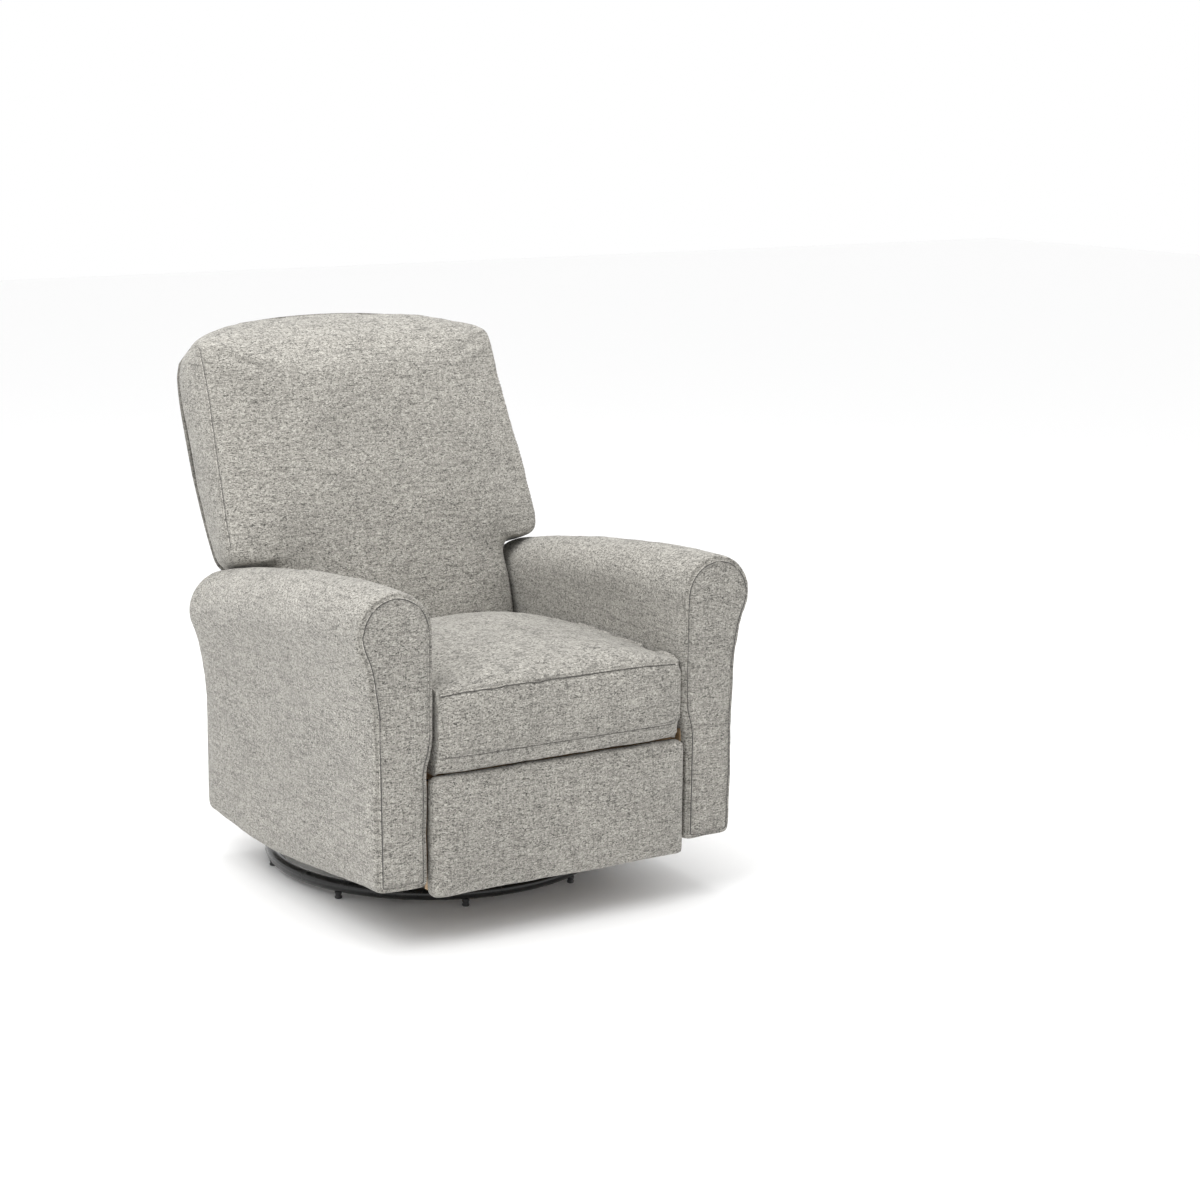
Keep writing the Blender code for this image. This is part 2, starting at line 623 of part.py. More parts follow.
def make_back():
    low = BACK_LOW_HALF
    wing, above = WING_HALF, WING_U
    stations = [  # u, front half width, rear half width, front face v
        (0.045, low, low, -0.080), (0.100, low, low, -0.102), (0.200, low, low, -0.112),
        (above - 0.006, low, low, -0.110), (above, wing, wing - 0.005, -0.108),
        (above + 0.128, wing - 0.003, wing - 0.004, -0.114),
        (above + 0.268, wing - 0.012, wing - 0.004, -0.113),
        (above + 0.378, wing - 0.025, wing - 0.006, -0.103),
        (above + 0.438, wing - 0.037, wing - 0.017, -0.086),
        (above + 0.478, wing - 0.052, wing - 0.040, -0.060),
        (above + 0.510, wing - 0.080, wing - 0.078, -0.024),
        (BACK_TOP_U, wing - 0.135, wing - 0.135, 0.004),
    ]
    cushion = loft("back_cushion", [back_section(*station) for station in stations])
    inner, outer = POST_INNER, LAYER_TOGGLE - GAP
    rail_front = FRAME_FRONT_V + 0.002
    frame = {  # (x, u) corners of each piece of the wooden frame, and its front face
        "rail_top": ((GAP - inner, POST_TOP_U - 0.070), (inner - GAP, POST_TOP_U - 0.005), rail_front),
        "rail_bottom": ((GAP - inner, 0.090), (inner - GAP, 0.145), rail_front),
        "post_left": ((inner, POST_LOW_U), (outer, POST_TOP_U), FRAME_FRONT_V),
        "post_right": ((-outer, POST_LOW_U), (-inner, POST_TOP_U), FRAME_FRONT_V),
    }
    for name, (low, high, front) in frame.items():
        add(back_box(f"back_{name}", (*low, front), (*high, FRAME_REAR_V)), WOOD)
        recess(cushion, name, low, high, front)

    panel_half = LAYER_TOGGLE + BRACKET - 0.001
    low, high = (-panel_half, 0.050), (panel_half, POST_TOP_U + 0.004)
    add(back_box("back_panel", (*low, FRAME_REAR_V + GAP), (*high, BACK_REAR_V)), FABRIC)
    recess(cushion, "panel", low, high, FRAME_REAR_V + GAP)
    for label, side in SIDES:
        near, far = sorted((side * LAYER_TOGGLE, side * (LAYER_TOGGLE + BRACKET)))
        recess(cushion, f"bracket_{label}", (near, -0.05), (far, BRACKET_TOP_U), FRAME_FRONT_V + 0.001)
    add(cushion, FABRIC)

    for label, side in SIDES:
        pivot = Vector((PIVOT_Y, PIVOT_Z))
        front, rear, top = FRAME_FRONT_V + 0.002, FRAME_REAR_V - 0.002, BRACKET_TOP_U - GAP
        corners = [back_point(0, u, v).yz for u in (0.070, top) for v in (front, rear)]
        outline = hull([*circle(pivot, 0.016), *corners])
        bracket = plate(f"back_bracket_{label}", side, LAYER_TOGGLE, BRACKET, outline)
        stud(bracket, side, pivot, LAYER_TOGGLE + BRACKET / 2, PLATE_X + GAP, 0.006)
        add(bracket, ZINC_STEEL)


# ---------------------------------------------------------------- footrest
def ahead(angle, length):
    """(y, z) of a vector at an angle above straight ahead."""
    return length * Vector((-math.cos(angle), math.sin(angle)))


def make_mechanism():
    drive_end = DRIVE_PIVOT + ahead(DRIVE_ANGLE, DRIVE_LENGTH)
    guide_pivot = DRIVE_PIVOT + GUIDE_OFFSET
    guide_end = drive_end + GUIDE_OFFSET
    ear = ahead(EAR_ANGLE, EAR_LENGTH)
    toggle_low, toggle_high = drive_end + ear, PANEL_PIVOT + ear
    hole = STUD_RADIUS + RUN
    rail_low = SEAT_STEP_Z - SEAT_RAIL_DEPTH - GAP
    pivot = Vector((PIVOT_Y, PIVOT_Z))
    into_plate = PLATE_X + GAP
    into_toggle = PLATE_X + LINK + 0.0007
    into_carrier = LAYER_CARRIER + LINK + 0.0007

    def cover(*centres, radius=LINK_ROUND):
        return hull([p for centre in centres for p in circle(centre, radius)])

    for label, side in SIDES:
        front = DRIVE_PIVOT[0] - 0.025
        outline = [
            (front, DRIVE_PIVOT[1] - 0.021), (front, rail_low),
            (SEAT_REAR_Y + 0.004, rail_low), (SEAT_REAR_Y + 0.016, PIVOT_Z + 0.018),
            (PIVOT_Y + 0.024, PIVOT_Z + 0.018), (PIVOT_Y + 0.024, PIVOT_Z - 0.018),
            (PIVOT_Y - 0.030, PIVOT_Z - 0.045), (LEVER_PIVOT[0], LEVER_PIVOT[1] - 0.018),
        ]
        holes = [circle(c, hole) for c in (DRIVE_PIVOT, guide_pivot, LEVER_PIVOT)]
        holes.append(circle(pivot, 0.006 + RUN))
        add(plate(f"mechanism_plate_{label}", side, PLATE_X, LINK, outline, holes), ZINC_STEEL)

        drive = plate(
            f"drive_link_{label}", side, LAYER_DRIVE, LINK, cover(DRIVE_PIVOT, drive_end, toggle_low)
        )
        stud(drive, side, DRIVE_PIVOT, LAYER_DRIVE + LINK / 2, into_plate)
        stud(drive, side, toggle_low, LAYER_DRIVE + LINK / 2, into_toggle)
        stud(drive, side, drive_end, LAYER_DRIVE + LINK / 2, into_carrier)
        add(drive, BLACK_STEEL)

        guide = plate(f"guide_link_{label}", side, LAYER_DRIVE, LINK, cover(guide_pivot, guide_end))
        stud(guide, side, guide_pivot, LAYER_DRIVE + LINK / 2, into_plate)
        stud(guide, side, guide_end, LAYER_DRIVE + LINK / 2, into_carrier)
        add(guide, BLACK_STEEL)

        centres = (guide_end, drive_end, PANEL_PIVOT)
        holes = [circle(c, hole) for c in centres]
        carrier = plate(f"carrier_link_{label}", side, LAYER_CARRIER, LINK, cover(*centres), holes)
        add(carrier, BLACK_STEEL)

        centres = (toggle_low, toggle_high)
        holes = [circle(c, hole) for c in centres]
        toggle = plate(
            f"toggle_link_{label}", side, LAYER_TOGGLE, LINK, cover(*centres, radius=0.009), holes
        )
        add(toggle, BLACK_STEEL)

        board_rear = PAD_REAR_Y + GAP + FOOT_BOARD + GAP
        flange_low, flange_high = PANEL_PIVOT[1] - 0.055, PANEL_PIVOT[1] + 0.030
        flange_points = [(board_rear, flange_low), (board_rear, flange_high)]
        outline = hull([*cover(PANEL_PIVOT, toggle_high), *flange_points])
        bracket = plate(f"footrest_bracket_{label}", side, LAYER_DRIVE, LINK, outline)
        flange = side_box(
            f"footrest_flange_{label}", side, PLATE_X - 0.015, LAYER_DRIVE + LINK,
            (board_rear, flange_low), (board_rear + 0.003, flange_high),
        )
        boolean(bracket, helper(flange), "UNION")
        stud(bracket, side, PANEL_PIVOT, LAYER_DRIVE + LINK / 2, into_carrier)
        stud(bracket, side, toggle_high, LAYER_DRIVE + LINK / 2, into_toggle)
        add(bracket, BLACK_STEEL)


def make_footrest():
    pad = box("footrest_pad", (-PAD_HALF, PAD_FRONT_Y, PAD_LOW_Z), (PAD_HALF, PAD_REAR_Y, PAD_HIGH_Z))
    add(round_edges(pad, 0.012), FABRIC)
    inset = 0.009
    board = box(
        "footrest_board", (-PAD_HALF + inset, PAD_REAR_Y + GAP, PAD_LOW_Z + inset),
        (PAD_HALF - inset, PAD_REAR_Y + GAP + FOOT_BOARD, PAD_HIGH_Z - inset),
    )
    add(board, WOOD)


def make_release_lever():
    """The lever between the seat cushion and the right-hand arm that lets the footrest out."""
    side = -1.0
    outline = hull([*circle(LEVER_PIVOT, 0.010), *circle(LEVER_TOP, 0.012, 12)])
    lever = plate("release_lever", side, LEVER_X, 0.004, outline)
    stud(lever, side, LEVER_PIVOT, LEVER_X + 0.002, PLATE_X + GAP)
    add(lever, BLACK_STEEL)


def place_origins():
    """Puts each moving piece's origin on its joint's axis and leaves its shape where it is."""
    half_base = HANGER_HALF_BASE
    axes = {
        "ball_cage": (0, 0), "turntable_plate": (0, 0), "glide_stand": (0, 0),
        "hanger_front": (-half_base, HANGER_TOP_Z), "hanger_rear": (half_base, HANGER_TOP_Z),
        "carriage_rail": (-half_base, HANGER_LOW_Z), "back": (PIVOT_Y, PIVOT_Z),
        "drive_link": DRIVE_PIVOT, "guide_link": DRIVE_PIVOT + GUIDE_OFFSET,
        "carrier_link": DRIVE_PIVOT + ahead(DRIVE_ANGLE, DRIVE_LENGTH),
        "toggle_link": PANEL_PIVOT + ahead(EAR_ANGLE, EAR_LENGTH),
        "footrest": PANEL_PIVOT, "release_lever": LEVER_PIVOT,
    }
    for start, (y, z) in axes.items():
        for obj in chair.objects:
            if obj.name.startswith(start):
                obj.data.transform(Matrix.Translation((0, -y, -z)))
                obj.location = (0, y, z)


make_floor_ring()
make_spider()
make_bearing()
make_glider()
make_arms()
make_seat_frame()
make_springs()
make_seat_cushion()
make_back()
make_mechanism()
make_footrest()
make_release_lever()
place_origins()
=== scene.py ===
"""Looks of the glider nursery chair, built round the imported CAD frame.

Metres, +Z up. The chair faces -Y, and +X is the sitter's left-hand side.
"""

import math

import bmesh
import bpy
import numpy as np
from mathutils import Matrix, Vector
from mathutils.bvhtree import BVHTree


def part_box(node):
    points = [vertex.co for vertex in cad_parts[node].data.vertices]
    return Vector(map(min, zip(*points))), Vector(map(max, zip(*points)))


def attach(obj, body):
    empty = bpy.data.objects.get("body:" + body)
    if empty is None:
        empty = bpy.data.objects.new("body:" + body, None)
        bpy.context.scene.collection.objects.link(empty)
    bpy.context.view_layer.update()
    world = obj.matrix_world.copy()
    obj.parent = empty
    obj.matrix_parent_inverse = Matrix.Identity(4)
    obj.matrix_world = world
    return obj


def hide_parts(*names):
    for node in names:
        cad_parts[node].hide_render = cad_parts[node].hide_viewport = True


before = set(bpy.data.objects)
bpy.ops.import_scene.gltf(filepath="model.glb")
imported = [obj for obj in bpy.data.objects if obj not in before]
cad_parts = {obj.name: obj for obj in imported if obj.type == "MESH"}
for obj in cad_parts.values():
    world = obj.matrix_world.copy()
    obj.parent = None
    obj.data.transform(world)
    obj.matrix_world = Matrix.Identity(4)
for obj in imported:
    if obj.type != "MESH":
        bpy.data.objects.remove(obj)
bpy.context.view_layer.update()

CLOTH = "grey_chenille"      # the record's slot for every cloth piece
VOXEL = 0.0070               # mesh size of a stuffed piece before it is subdivided
PATH_STEP = 0.002            # spacing of the points of a seam's path
FILL_FRAMES = 20             # length of each cloth simulation
STITCH_LENGTH, STITCH_GAP, STITCH_RADIUS = 0.0052, 0.0022, 0.0006


def in_scene(name, data):
    """A new object with this data, linked into the scene."""
    obj = bpy.data.objects.new(name, data)
    bpy.context.scene.collection.objects.link(obj)
    return obj


# ---------------------------------------------------------------- camera, lights and floor
def make_camera():
    """A long lens a little above the arms, looking at the chair from its right front."""
    azimuth, elevation, distance = math.radians(-30.14), math.radians(12.40), 4.824
    target = Vector((0.0, -0.13, 0.5))
    back = Vector((
        math.sin(azimuth) * math.cos(elevation), -math.cos(azimuth) * math.cos(elevation),
        math.sin(elevation),
    ))
    data = bpy.data.cameras.new("camera")
    data.lens, data.sensor_width = 75.33, 36.0
    data.shift_x, data.shift_y = 0.1125, 0.0197
    camera = in_scene("camera", data)
    camera.location = target + distance * back
    camera.rotation_euler = back.to_track_quat("Z", "Y").to_euler()
    bpy.context.scene.camera = camera


def area_light(name, location, size, power, aim=(0.0, 0.0, 0.5)):
    data = bpy.data.lights.new(name, "AREA")
    data.shape, data.size, data.energy = "DISK", size, power
    lamp = in_scene(name, data)
    lamp.location = location
    lamp.rotation_euler = (Vector(location) - Vector(aim)).to_track_quat("Z", "Y").to_euler()


def make_studio():
    """Soft light from above and the left, in a white room with a plain pale floor."""
    area_light("key", (-2.4, -1.2, 3.2), 2.2, 62)
    area_light("fill", (2.4, -2.8, 1.6), 2.5, 4)
    area_light("top", (0.0, 0.4, 3.4), 2.6, 52)
    world = bpy.data.worlds.new("studio")
    world.use_nodes = True
    world.node_tree.nodes["Background"].inputs["Color"].default_value = (1.0, 1.0, 1.0, 1.0)
    world.node_tree.nodes["Background"].inputs["Strength"].default_value = 1.0
    bpy.context.scene.world = world
    bpy.context.scene.view_settings.view_transform = "Standard"

    mesh = bmesh.new()
    bmesh.ops.create_grid(mesh, x_segments=1, y_segments=1, size=14.0)
    data = bpy.data.meshes.new("floor")
    mesh.to_mesh(data)
    mesh.free()
    floor = in_scene("floor", data)
    pale = bpy.data.materials.new("pale_floor")
    pale.use_nodes = True
    shader = pale.node_tree.nodes["Principled BSDF"]
    shader.inputs["Base Color"].default_value = (0.97, 0.97, 0.97, 1.0)
    shader.inputs["Roughness"].default_value = 0.6
    floor.data.materials.append(pale)


# ---------------------------------------------------------------- mesh helpers
def object_from(name, points, faces, body, slot=CLOTH):
    """A mesh object that rides on a CAD body and takes its finish from a record slot."""
    data = bpy.data.meshes.new(name)
    data.from_pydata([tuple(p) for p in points], [], [tuple(f) for f in faces])
    data.update()
    obj = in_scene(name, data)
    obj["body"], obj["slot"] = body, slot
    return obj


def settle_in(obj, finish, replaced=()):
    """Last step for a piece: smooth shading, material, body and the CAD nodes it stands for."""
    obj.data.materials.clear()
    obj.data.materials.append(finish)
    obj.data.shade_smooth()
    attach(obj, obj["body"])
    if replaced:
        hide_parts(*replaced)


def read_points(obj):
    flat = np.empty(len(obj.data.vertices) * 3)
    obj.data.vertices.foreach_get("co", flat)
    return flat.reshape(-1, 3)


def write_points(obj, points):
    obj.data.vertices.foreach_set("co", np.ascontiguousarray(points, dtype=np.float32).ravel())
    obj.data.update()


def read_normals(obj):
    flat = np.empty(len(obj.data.vertices) * 3, dtype=np.float32)
    obj.data.vertex_normals.foreach_get("vector", flat)
    return flat.reshape(-1, 3).astype(float)


def apply_modifiers(obj):
    """Puts the modifiers' result in place of the mesh."""
    graph = bpy.context.evaluated_depsgraph_get()
    made = bpy.data.meshes.new_from_object(obj.evaluated_get(graph))
    obj.modifiers.clear()
    old, obj.data = obj.data, made
    bpy.data.meshes.remove(old)


def ring_faces(rings, count, closed=False):
    """Quads between rings of `count` points; the ends are capped, or joined when closed."""
    faces = []
    for here in range(rings if closed else rings - 1):
        first, following = here * count, (here + 1) % rings * count
        for i in range(count):
            beside = (i + 1) % count
            faces.append((first + i, first + beside, following + beside, following + i))
    if closed:
        return faces
    last = (rings - 1) * count
    return faces + [tuple(range(count))[::-1], tuple(last + i for i in range(count))]


def loft(name, rings, body, slot=CLOTH):
    """A closed surface through rings that have the same number of points."""
    obj = object_from(name, np.concatenate(rings), ring_faces(len(rings), len(rings[0])), body, slot)
    mesh = bmesh.new()
    mesh.from_mesh(obj.data)
    bmesh.ops.recalc_face_normals(mesh, faces=mesh.faces[:])
    mesh.to_mesh(obj.data)
    mesh.free()
    return obj


def distances(path):
    """How far along a path each of its points lies."""
    return np.concatenate([[0.0], np.cumsum(np.linalg.norm(np.diff(path, axis=0), axis=1))])


def sampled(rows, along, wanted):
    """Rows that belong to distances along a path, interpolated at the wanted distances."""
    return np.column_stack([np.interp(wanted, along, column) for column in rows.T])


def resample(outline, count):
    """A closed outline with `count` points, evenly spaced along it."""
    closed = np.vstack([outline, outline[:1]])
    along = distances(closed)
    return sampled(closed, along, np.linspace(0.0, along[-1], count, endpoint=False))


def outward(outline):
    """Unit normals of an anticlockwise 2-D outline, pointing out of it."""
    ahead = np.roll(outline, -1, axis=0) - np.roll(outline, 1, axis=0)
    ahead /= np.linalg.norm(ahead, axis=1)[:, None] + 1e-12
    return np.stack([ahead[:, 1], -ahead[:, 0]], axis=1)


def anticlockwise(outline):
    """The outline itself, turned round if it runs clockwise."""
    x, y = outline[:, 0], outline[:, 1]
    area = np.sum(x * np.roll(y, -1) - np.roll(x, -1) * y)
    return outline if area > 0 else outline[::-1]


def arc(centre, radius, start, end, steps):
    """Points on an arc, from one angle in degrees to another."""
    turn = np.radians(np.linspace(start, end, steps))
    return np.stack([centre[0] + radius * np.cos(turn), centre[1] + radius * np.sin(turn)], axis=1)


def bezier(p0, p1, p2, p3, steps):
    """Points on a cubic curve from p0 to p3."""
    t = np.linspace(0.0, 1.0, steps)[:, None]
    p0, p1, p2, p3 = (np.asarray(p, float) for p in (p0, p1, p2, p3))
    return (1 - t) ** 3 * p0 + 3 * (1 - t) ** 2 * t * p1 + 3 * (1 - t) * t**2 * p2 + t**3 * p3


def smooth_step(t):
    """0 below 0, 1 above 1, and an S-curve between."""
    t = np.clip(t, 0.0, 1.0)
    return t * t * (3 - 2 * t)


def fabric_mesh(obj, voxel, rounds):
    """Remeshes a piece evenly and evens out the steps that this leaves."""
    remesh = obj.modifiers.new("remesh", "REMESH")
    remesh.mode, remesh.voxel_size, remesh.adaptivity = "VOXEL", voxel, 0.0
    apply_modifiers(obj)
    mesh = bmesh.new()
    mesh.from_mesh(obj.data)
    for _ in range(rounds):
        bmesh.ops.smooth_vert(
            mesh, verts=mesh.verts[:], factor=0.5, use_axis_x=True, use_axis_y=True, use_axis_z=True
        )
    mesh.to_mesh(obj.data)
    mesh.free()


def puff(obj, held, pressure, most):
    """Fills a piece by cloth simulation, moving no point further than `most`.

    `held` gives each point's hold, 0 free to 1 fixed.
    """
    rest = read_points(obj)
    group = obj.vertex_groups.new(name="held")
    for level in range(1, 11):
        chosen = np.nonzero(np.round(held * 10) == level)[0]
        if len(chosen):
            group.add(chosen.tolist(), level / 10, "REPLACE")
    cloth = obj.modifiers.new("cloth", "CLOTH")
    cloth.settings.quality = 4
    cloth.settings.mass = 0.4
    cloth.settings.tension_stiffness = cloth.settings.compression_stiffness = 12
    cloth.settings.bending_stiffness = 2.0
    cloth.settings.air_damping = 2.0
    cloth.settings.use_pressure = True
    cloth.settings.uniform_pressure_force = pressure
    cloth.settings.effector_weights.gravity = 0.0
    cloth.settings.vertex_group_mass = group.name
    cloth.point_cache.frame_start, cloth.point_cache.frame_end = 1, FILL_FRAMES
    for step in range(1, FILL_FRAMES + 1):
        bpy.context.scene.frame_set(step)
    evaluated = obj.evaluated_get(bpy.context.evaluated_depsgraph_get())
    flat = np.empty(len(evaluated.data.vertices) * 3)
    evaluated.data.vertices.foreach_get("co", flat)
    moved = flat.reshape(-1, 3) - rest
    length = np.linalg.norm(moved, axis=1)[:, None] + 1e-9
    moved *= most * np.tanh(length / most) / length
    obj.modifiers.clear()
    obj.vertex_groups.clear()
    bpy.context.scene.frame_set(1)
    write_points(obj, rest + moved * (1.0 - held[:, None]))


def subdivide(obj):
    """One round of smooth subdivision."""
    modifier = obj.modifiers.new("finer", "SUBSURF")
    modifier.levels = modifier.render_levels = 1
    apply_modifiers(obj)


def waves(points, seed, length):
    """Smooth random height field with waves of about this length, roughly -1 to 1."""
    rng = np.random.default_rng(seed)
    total = np.zeros(len(points))
    for _ in range(14):
        direction = rng.normal(size=3)
        direction /= np.linalg.norm(direction)
        pace = 2 * math.pi / (length * rng.uniform(0.7, 1.6))
        phase = rng.uniform(0, 6.28)
        total += np.cos(points @ direction * pace + phase)
    return total / 4.5


def ripple(obj, seed, amount=0.0010):
    """The slight unevenness of stuffed cloth, in long waves and short ones."""
    long_wave, short_wave = 0.16, 0.045
    points, normals = read_points(obj), read_normals(obj)
    height = amount * waves(points, seed, long_wave) + 0.35 * amount * waves(points, seed + 1, short_wave)
    write_points(obj, points + normals * height[:, None])


def dense(path):
    """A path with a point every PATH_STEP."""
    path = np.asarray(path, float)
    along = distances(path)
    return sampled(path, along, np.linspace(0.0, along[-1], max(2, int(along[-1] / PATH_STEP))))


def nearest_on(points, path):
    """Distance from each point to a path, and how far along the path that is; far points get inf."""
    reach, most_at_once = 0.05, 4000
    low, high = path.min(0) - reach, path.max(0) + reach
    near = np.nonzero(((points > low) & (points < high)).all(axis=1))[0]
    distance = np.full(len(points), np.inf)
    along = np.zeros(len(points))
    for some in np.array_split(near, max(1, len(near) // most_at_once)):
        gaps = np.linalg.norm(points[some][:, None, :] - path[None, :, :], axis=2)
        index = gaps.argmin(axis=1)
        distance[some] = gaps[np.arange(len(some)), index]
        along[some] = index * PATH_STEP
    return distance, along


def sew(obj, path, depth, width, pucker, seed):
    """Draws the cloth in along a seam, with small puckers that fade away from it."""
    pucker_length, pucker_off, pucker_reach = 0.022, 0.012, 0.014
    points, normals = read_points(obj), read_normals(obj)
    distance, along = nearest_on(points, path)
    near = np.isfinite(distance)
    d = distance[near]
    height = -depth * np.exp(-((d / width) ** 2))
    flat = np.zeros(near.sum())
    wave = waves(np.stack([along[near], flat, flat], axis=1), seed, pucker_length)
    height += pucker * wave * np.exp(-(((d - pucker_off) / pucker_reach) ** 2))
    points[near] += normals[near] * height[:, None]
    write_points(obj, points)


def surface_finder(obj):
    """Finds the nearest place on a piece's surface."""
    return BVHTree.FromPolygons(
        [v.co.copy() for v in obj.data.vertices], [tuple(p.vertices) for p in obj.data.polygons]
    )


def evened(rows, reach=6):
    """Points or normals along a path, averaged with their neighbours."""
    weights = np.hanning(2 * reach + 3)[1:-1]
    weights /= weights.sum()
    first, last = np.repeat(rows[:1], reach, axis=0), np.repeat(rows[-1:], reach, axis=0)
    longer = np.concatenate([first, rows, last])
    return np.column_stack([np.convolve(longer[:, k], weights, "valid") for k in range(3)])


def laid_on(finder, path, lift):
    """A path laid on a surface, evened and raised by `lift`, with the surface's normals there."""
    on, normals = [], []
    for p in path:
        place, normal, _, _ = finder.find_nearest(Vector(p))
        on.append(place)
        normals.append(normal)
    normals = evened(np.array(normals))
    normals /= np.linalg.norm(normals, axis=1)[:, None]
    return evened(np.array(on)) + normals * lift, normals


def cord(name, path, radius, body, finish, sides=8, closed=False):
    """A round cord of cloth or thread along a path, closed into a loop or capped at both ends."""
    if closed:
        ahead = np.roll(path, -1, axis=0) - np.roll(path, 1, axis=0)
    else:
        ahead = np.gradient(path, axis=0)
    ahead /= np.linalg.norm(ahead, axis=1)[:, None] + 1e-12
    side = np.cross(ahead[0], (0.31, 0.17, 0.93))
    rings = []
    for i in range(len(path)):
        side = side - ahead[i] * np.dot(side, ahead[i])
        side /= np.linalg.norm(side) + 1e-12
        other = np.cross(ahead[i], side)
        turn = np.linspace(0, 2 * math.pi, sides, endpoint=False)[:, None]
        rings.append(path[i] + radius * (np.cos(turn) * side + np.sin(turn) * other))
    faces = ring_faces(len(path), sides, closed)
    settle_in(object_from(name, np.concatenate(rings), faces, body), finish)


def stitches(name, path, normals, body):
    """A row of thread stitches along a path, each a small bowed rod whose ends dip into the cloth."""
    along = distances(path)
    bow = STITCH_RADIUS * np.array([-1.2, 0.9, 0.9, -1.2])
    sides, rows = 5, len(bow)
    points, faces = [], []
    for start in np.arange(0.0, along[-1] - STITCH_LENGTH, STITCH_LENGTH + STITCH_GAP):
        base = len(points)
        spots = start + STITCH_LENGTH * np.linspace(0, 1, rows)
        centre, up = sampled(path, along, spots), sampled(normals, along, spots)
        centre += up * bow[:, None]
        ahead = centre[-1] - centre[0]
        ahead /= np.linalg.norm(ahead) + 1e-12
        for row in range(rows):
            side = np.cross(ahead, up[row])
            side /= np.linalg.norm(side) + 1e-12
            for k in range(sides):
                turn = 2 * math.pi * k / sides
                out = math.cos(turn) * side + math.sin(turn) * up[row]
                points.append(centre[row] + STITCH_RADIUS * out)
        faces += [tuple(base + corner for corner in face) for face in ring_faces(rows, sides)]
    settle_in(object_from(name, points, faces, body), THREAD)


def topstitch(name, finder, path, body):
    """Topstitching laid on a piece's surface along a path."""
    on, up = laid_on(finder, path, 0.0005)
    stitches(name, on, up, body)


def seam_line(name, finder, path, body, groove, away=None, fold=None):
    """A closed seam from outside: a dark cord along the join, painted shadow of the seam's crease, and
    beside it the rolled edge of the cloth that laps it, coloured lighter as a painted highlight.

    The roll lies `away` from the join and has the radius `fold`. Gives back the join's own path.
    """
    on, _ = laid_on(finder, path, 0.0006)
    # dark cord in the seam's groove: painted shadow of the crease
    cord(f"{name}_join", on, groove, body, SEAM_SHADOW_CORD, sides=6)
    if away is not None:
        rolled, _ = laid_on(finder, on + away, -0.35 * fold)
        # the rolled edge in lighter cloth: painted highlight on the fold
        cord(f"{name}_fold", rolled, fold, body, HIGHLIT_FOLD_FABRIC, sides=10)
    return on


# ---------------------------------------------------------------- materials
class Shader:
    """A material's node tree, with short calls for the nodes that the finishes here use."""

    def __init__(self, name, roughness, metallic=0.0):
        self.material = bpy.data.materials.new(name)
        self.material.use_nodes = True
        self.nodes, self.links = self.material.node_tree.nodes, self.material.node_tree.links
        self.surface = self.nodes["Principled BSDF"]
        self.fix(Roughness=roughness, Metallic=metallic)
        self.place = self.nodes.new("ShaderNodeTexCoord")

    def fix(self, **values):
        for key, value in values.items():
            self.surface.inputs[key.replace("_", " ")].default_value = value

    def put(self, value, socket):
        if isinstance(value, bpy.types.NodeSocket):
            self.links.new(value, socket)
        else:
            socket.default_value = value

    def scaled(self, scale, place=None):
        node = self.nodes.new("ShaderNodeMapping")
        node.inputs["Scale"].default_value = scale
        self.links.new(place or self.place.outputs["Object"], node.inputs["Vector"])
        return node.outputs["Vector"]

    def noise(self, scale, detail=2.0, place=None, roughness=0.5, colour=False):
        node = self.nodes.new("ShaderNodeTexNoise")
        node.inputs["Scale"].default_value = scale
        node.inputs["Detail"].default_value = detail
        node.inputs["Roughness"].default_value = roughness
        self.links.new(place or self.place.outputs["Object"], node.inputs["Vector"])
        return node.outputs["Color" if colour else "Fac"]

    def cells(self, scale, place=None, output="Distance"):
        node = self.nodes.new("ShaderNodeTexVoronoi")
        node.inputs["Scale"].default_value = scale
        self.links.new(place or self.place.outputs["Object"], node.inputs["Vector"])
        return node.outputs[output]

    def math(self, kind, a, b=0.0):
        node = self.nodes.new("ShaderNodeMath")
        node.operation = kind
        for value, socket in zip((a, b), node.inputs):
            self.put(value, socket)
        return node.outputs["Value"]

    def vector(self, kind, a, b=(0.0, 0.0, 0.0)):
        node = self.nodes.new("ShaderNodeVectorMath")
        node.operation = kind
        self.put(a, node.inputs[0])
        self.put(b, node.inputs[3 if kind == "SCALE" else 1])
        return node.outputs["Vector"]

    def split(self, vector):
        node = self.nodes.new("ShaderNodeSeparateXYZ")
        self.links.new(vector, node.inputs["Vector"])
        return node.outputs["X"], node.outputs["Y"], node.outputs["Z"]

    def ramp(self, factor, stops, sharp=False):
        node = self.nodes.new("ShaderNodeValToRGB")
        band = node.color_ramp
        band.interpolation = "CONSTANT" if sharp else "LINEAR"
        while len(band.elements) < len(stops):
            band.elements.new(0.5)
        for element, (position, colour) in zip(band.elements, stops):
            element.position = position
            shade = colour if isinstance(colour, tuple) else (colour, colour, colour)
            element.color = (*shade, 1.0)
        self.put(factor, node.inputs["Fac"])
        return node.outputs["Color"]

    def mix(self, factor, a, b, kind="MIX"):
        node = self.nodes.new("ShaderNodeMix")
        node.data_type, node.blend_type = "RGBA", kind
        sockets = [s for s in node.inputs if s.enabled]
        for value, socket in zip((factor, a, b), sockets):
            self.put(value, socket)
        return next(s for s in node.outputs if s.enabled)

    def bump(self, height, depth, strength):
        node = self.nodes.new("ShaderNodeBump")
        node.inputs["Distance"].default_value = depth
        node.inputs["Strength"].default_value = strength
        self.put(height, node.inputs["Height"])
        return node.outputs["Normal"]

    def done(self, colour=None, roughness=None, normal=None):
        for key, value in (("Base Color", colour), ("Roughness", roughness), ("Normal", normal)):
            if value is not None:
                self.put(value, self.surface.inputs[key])
        return self.material


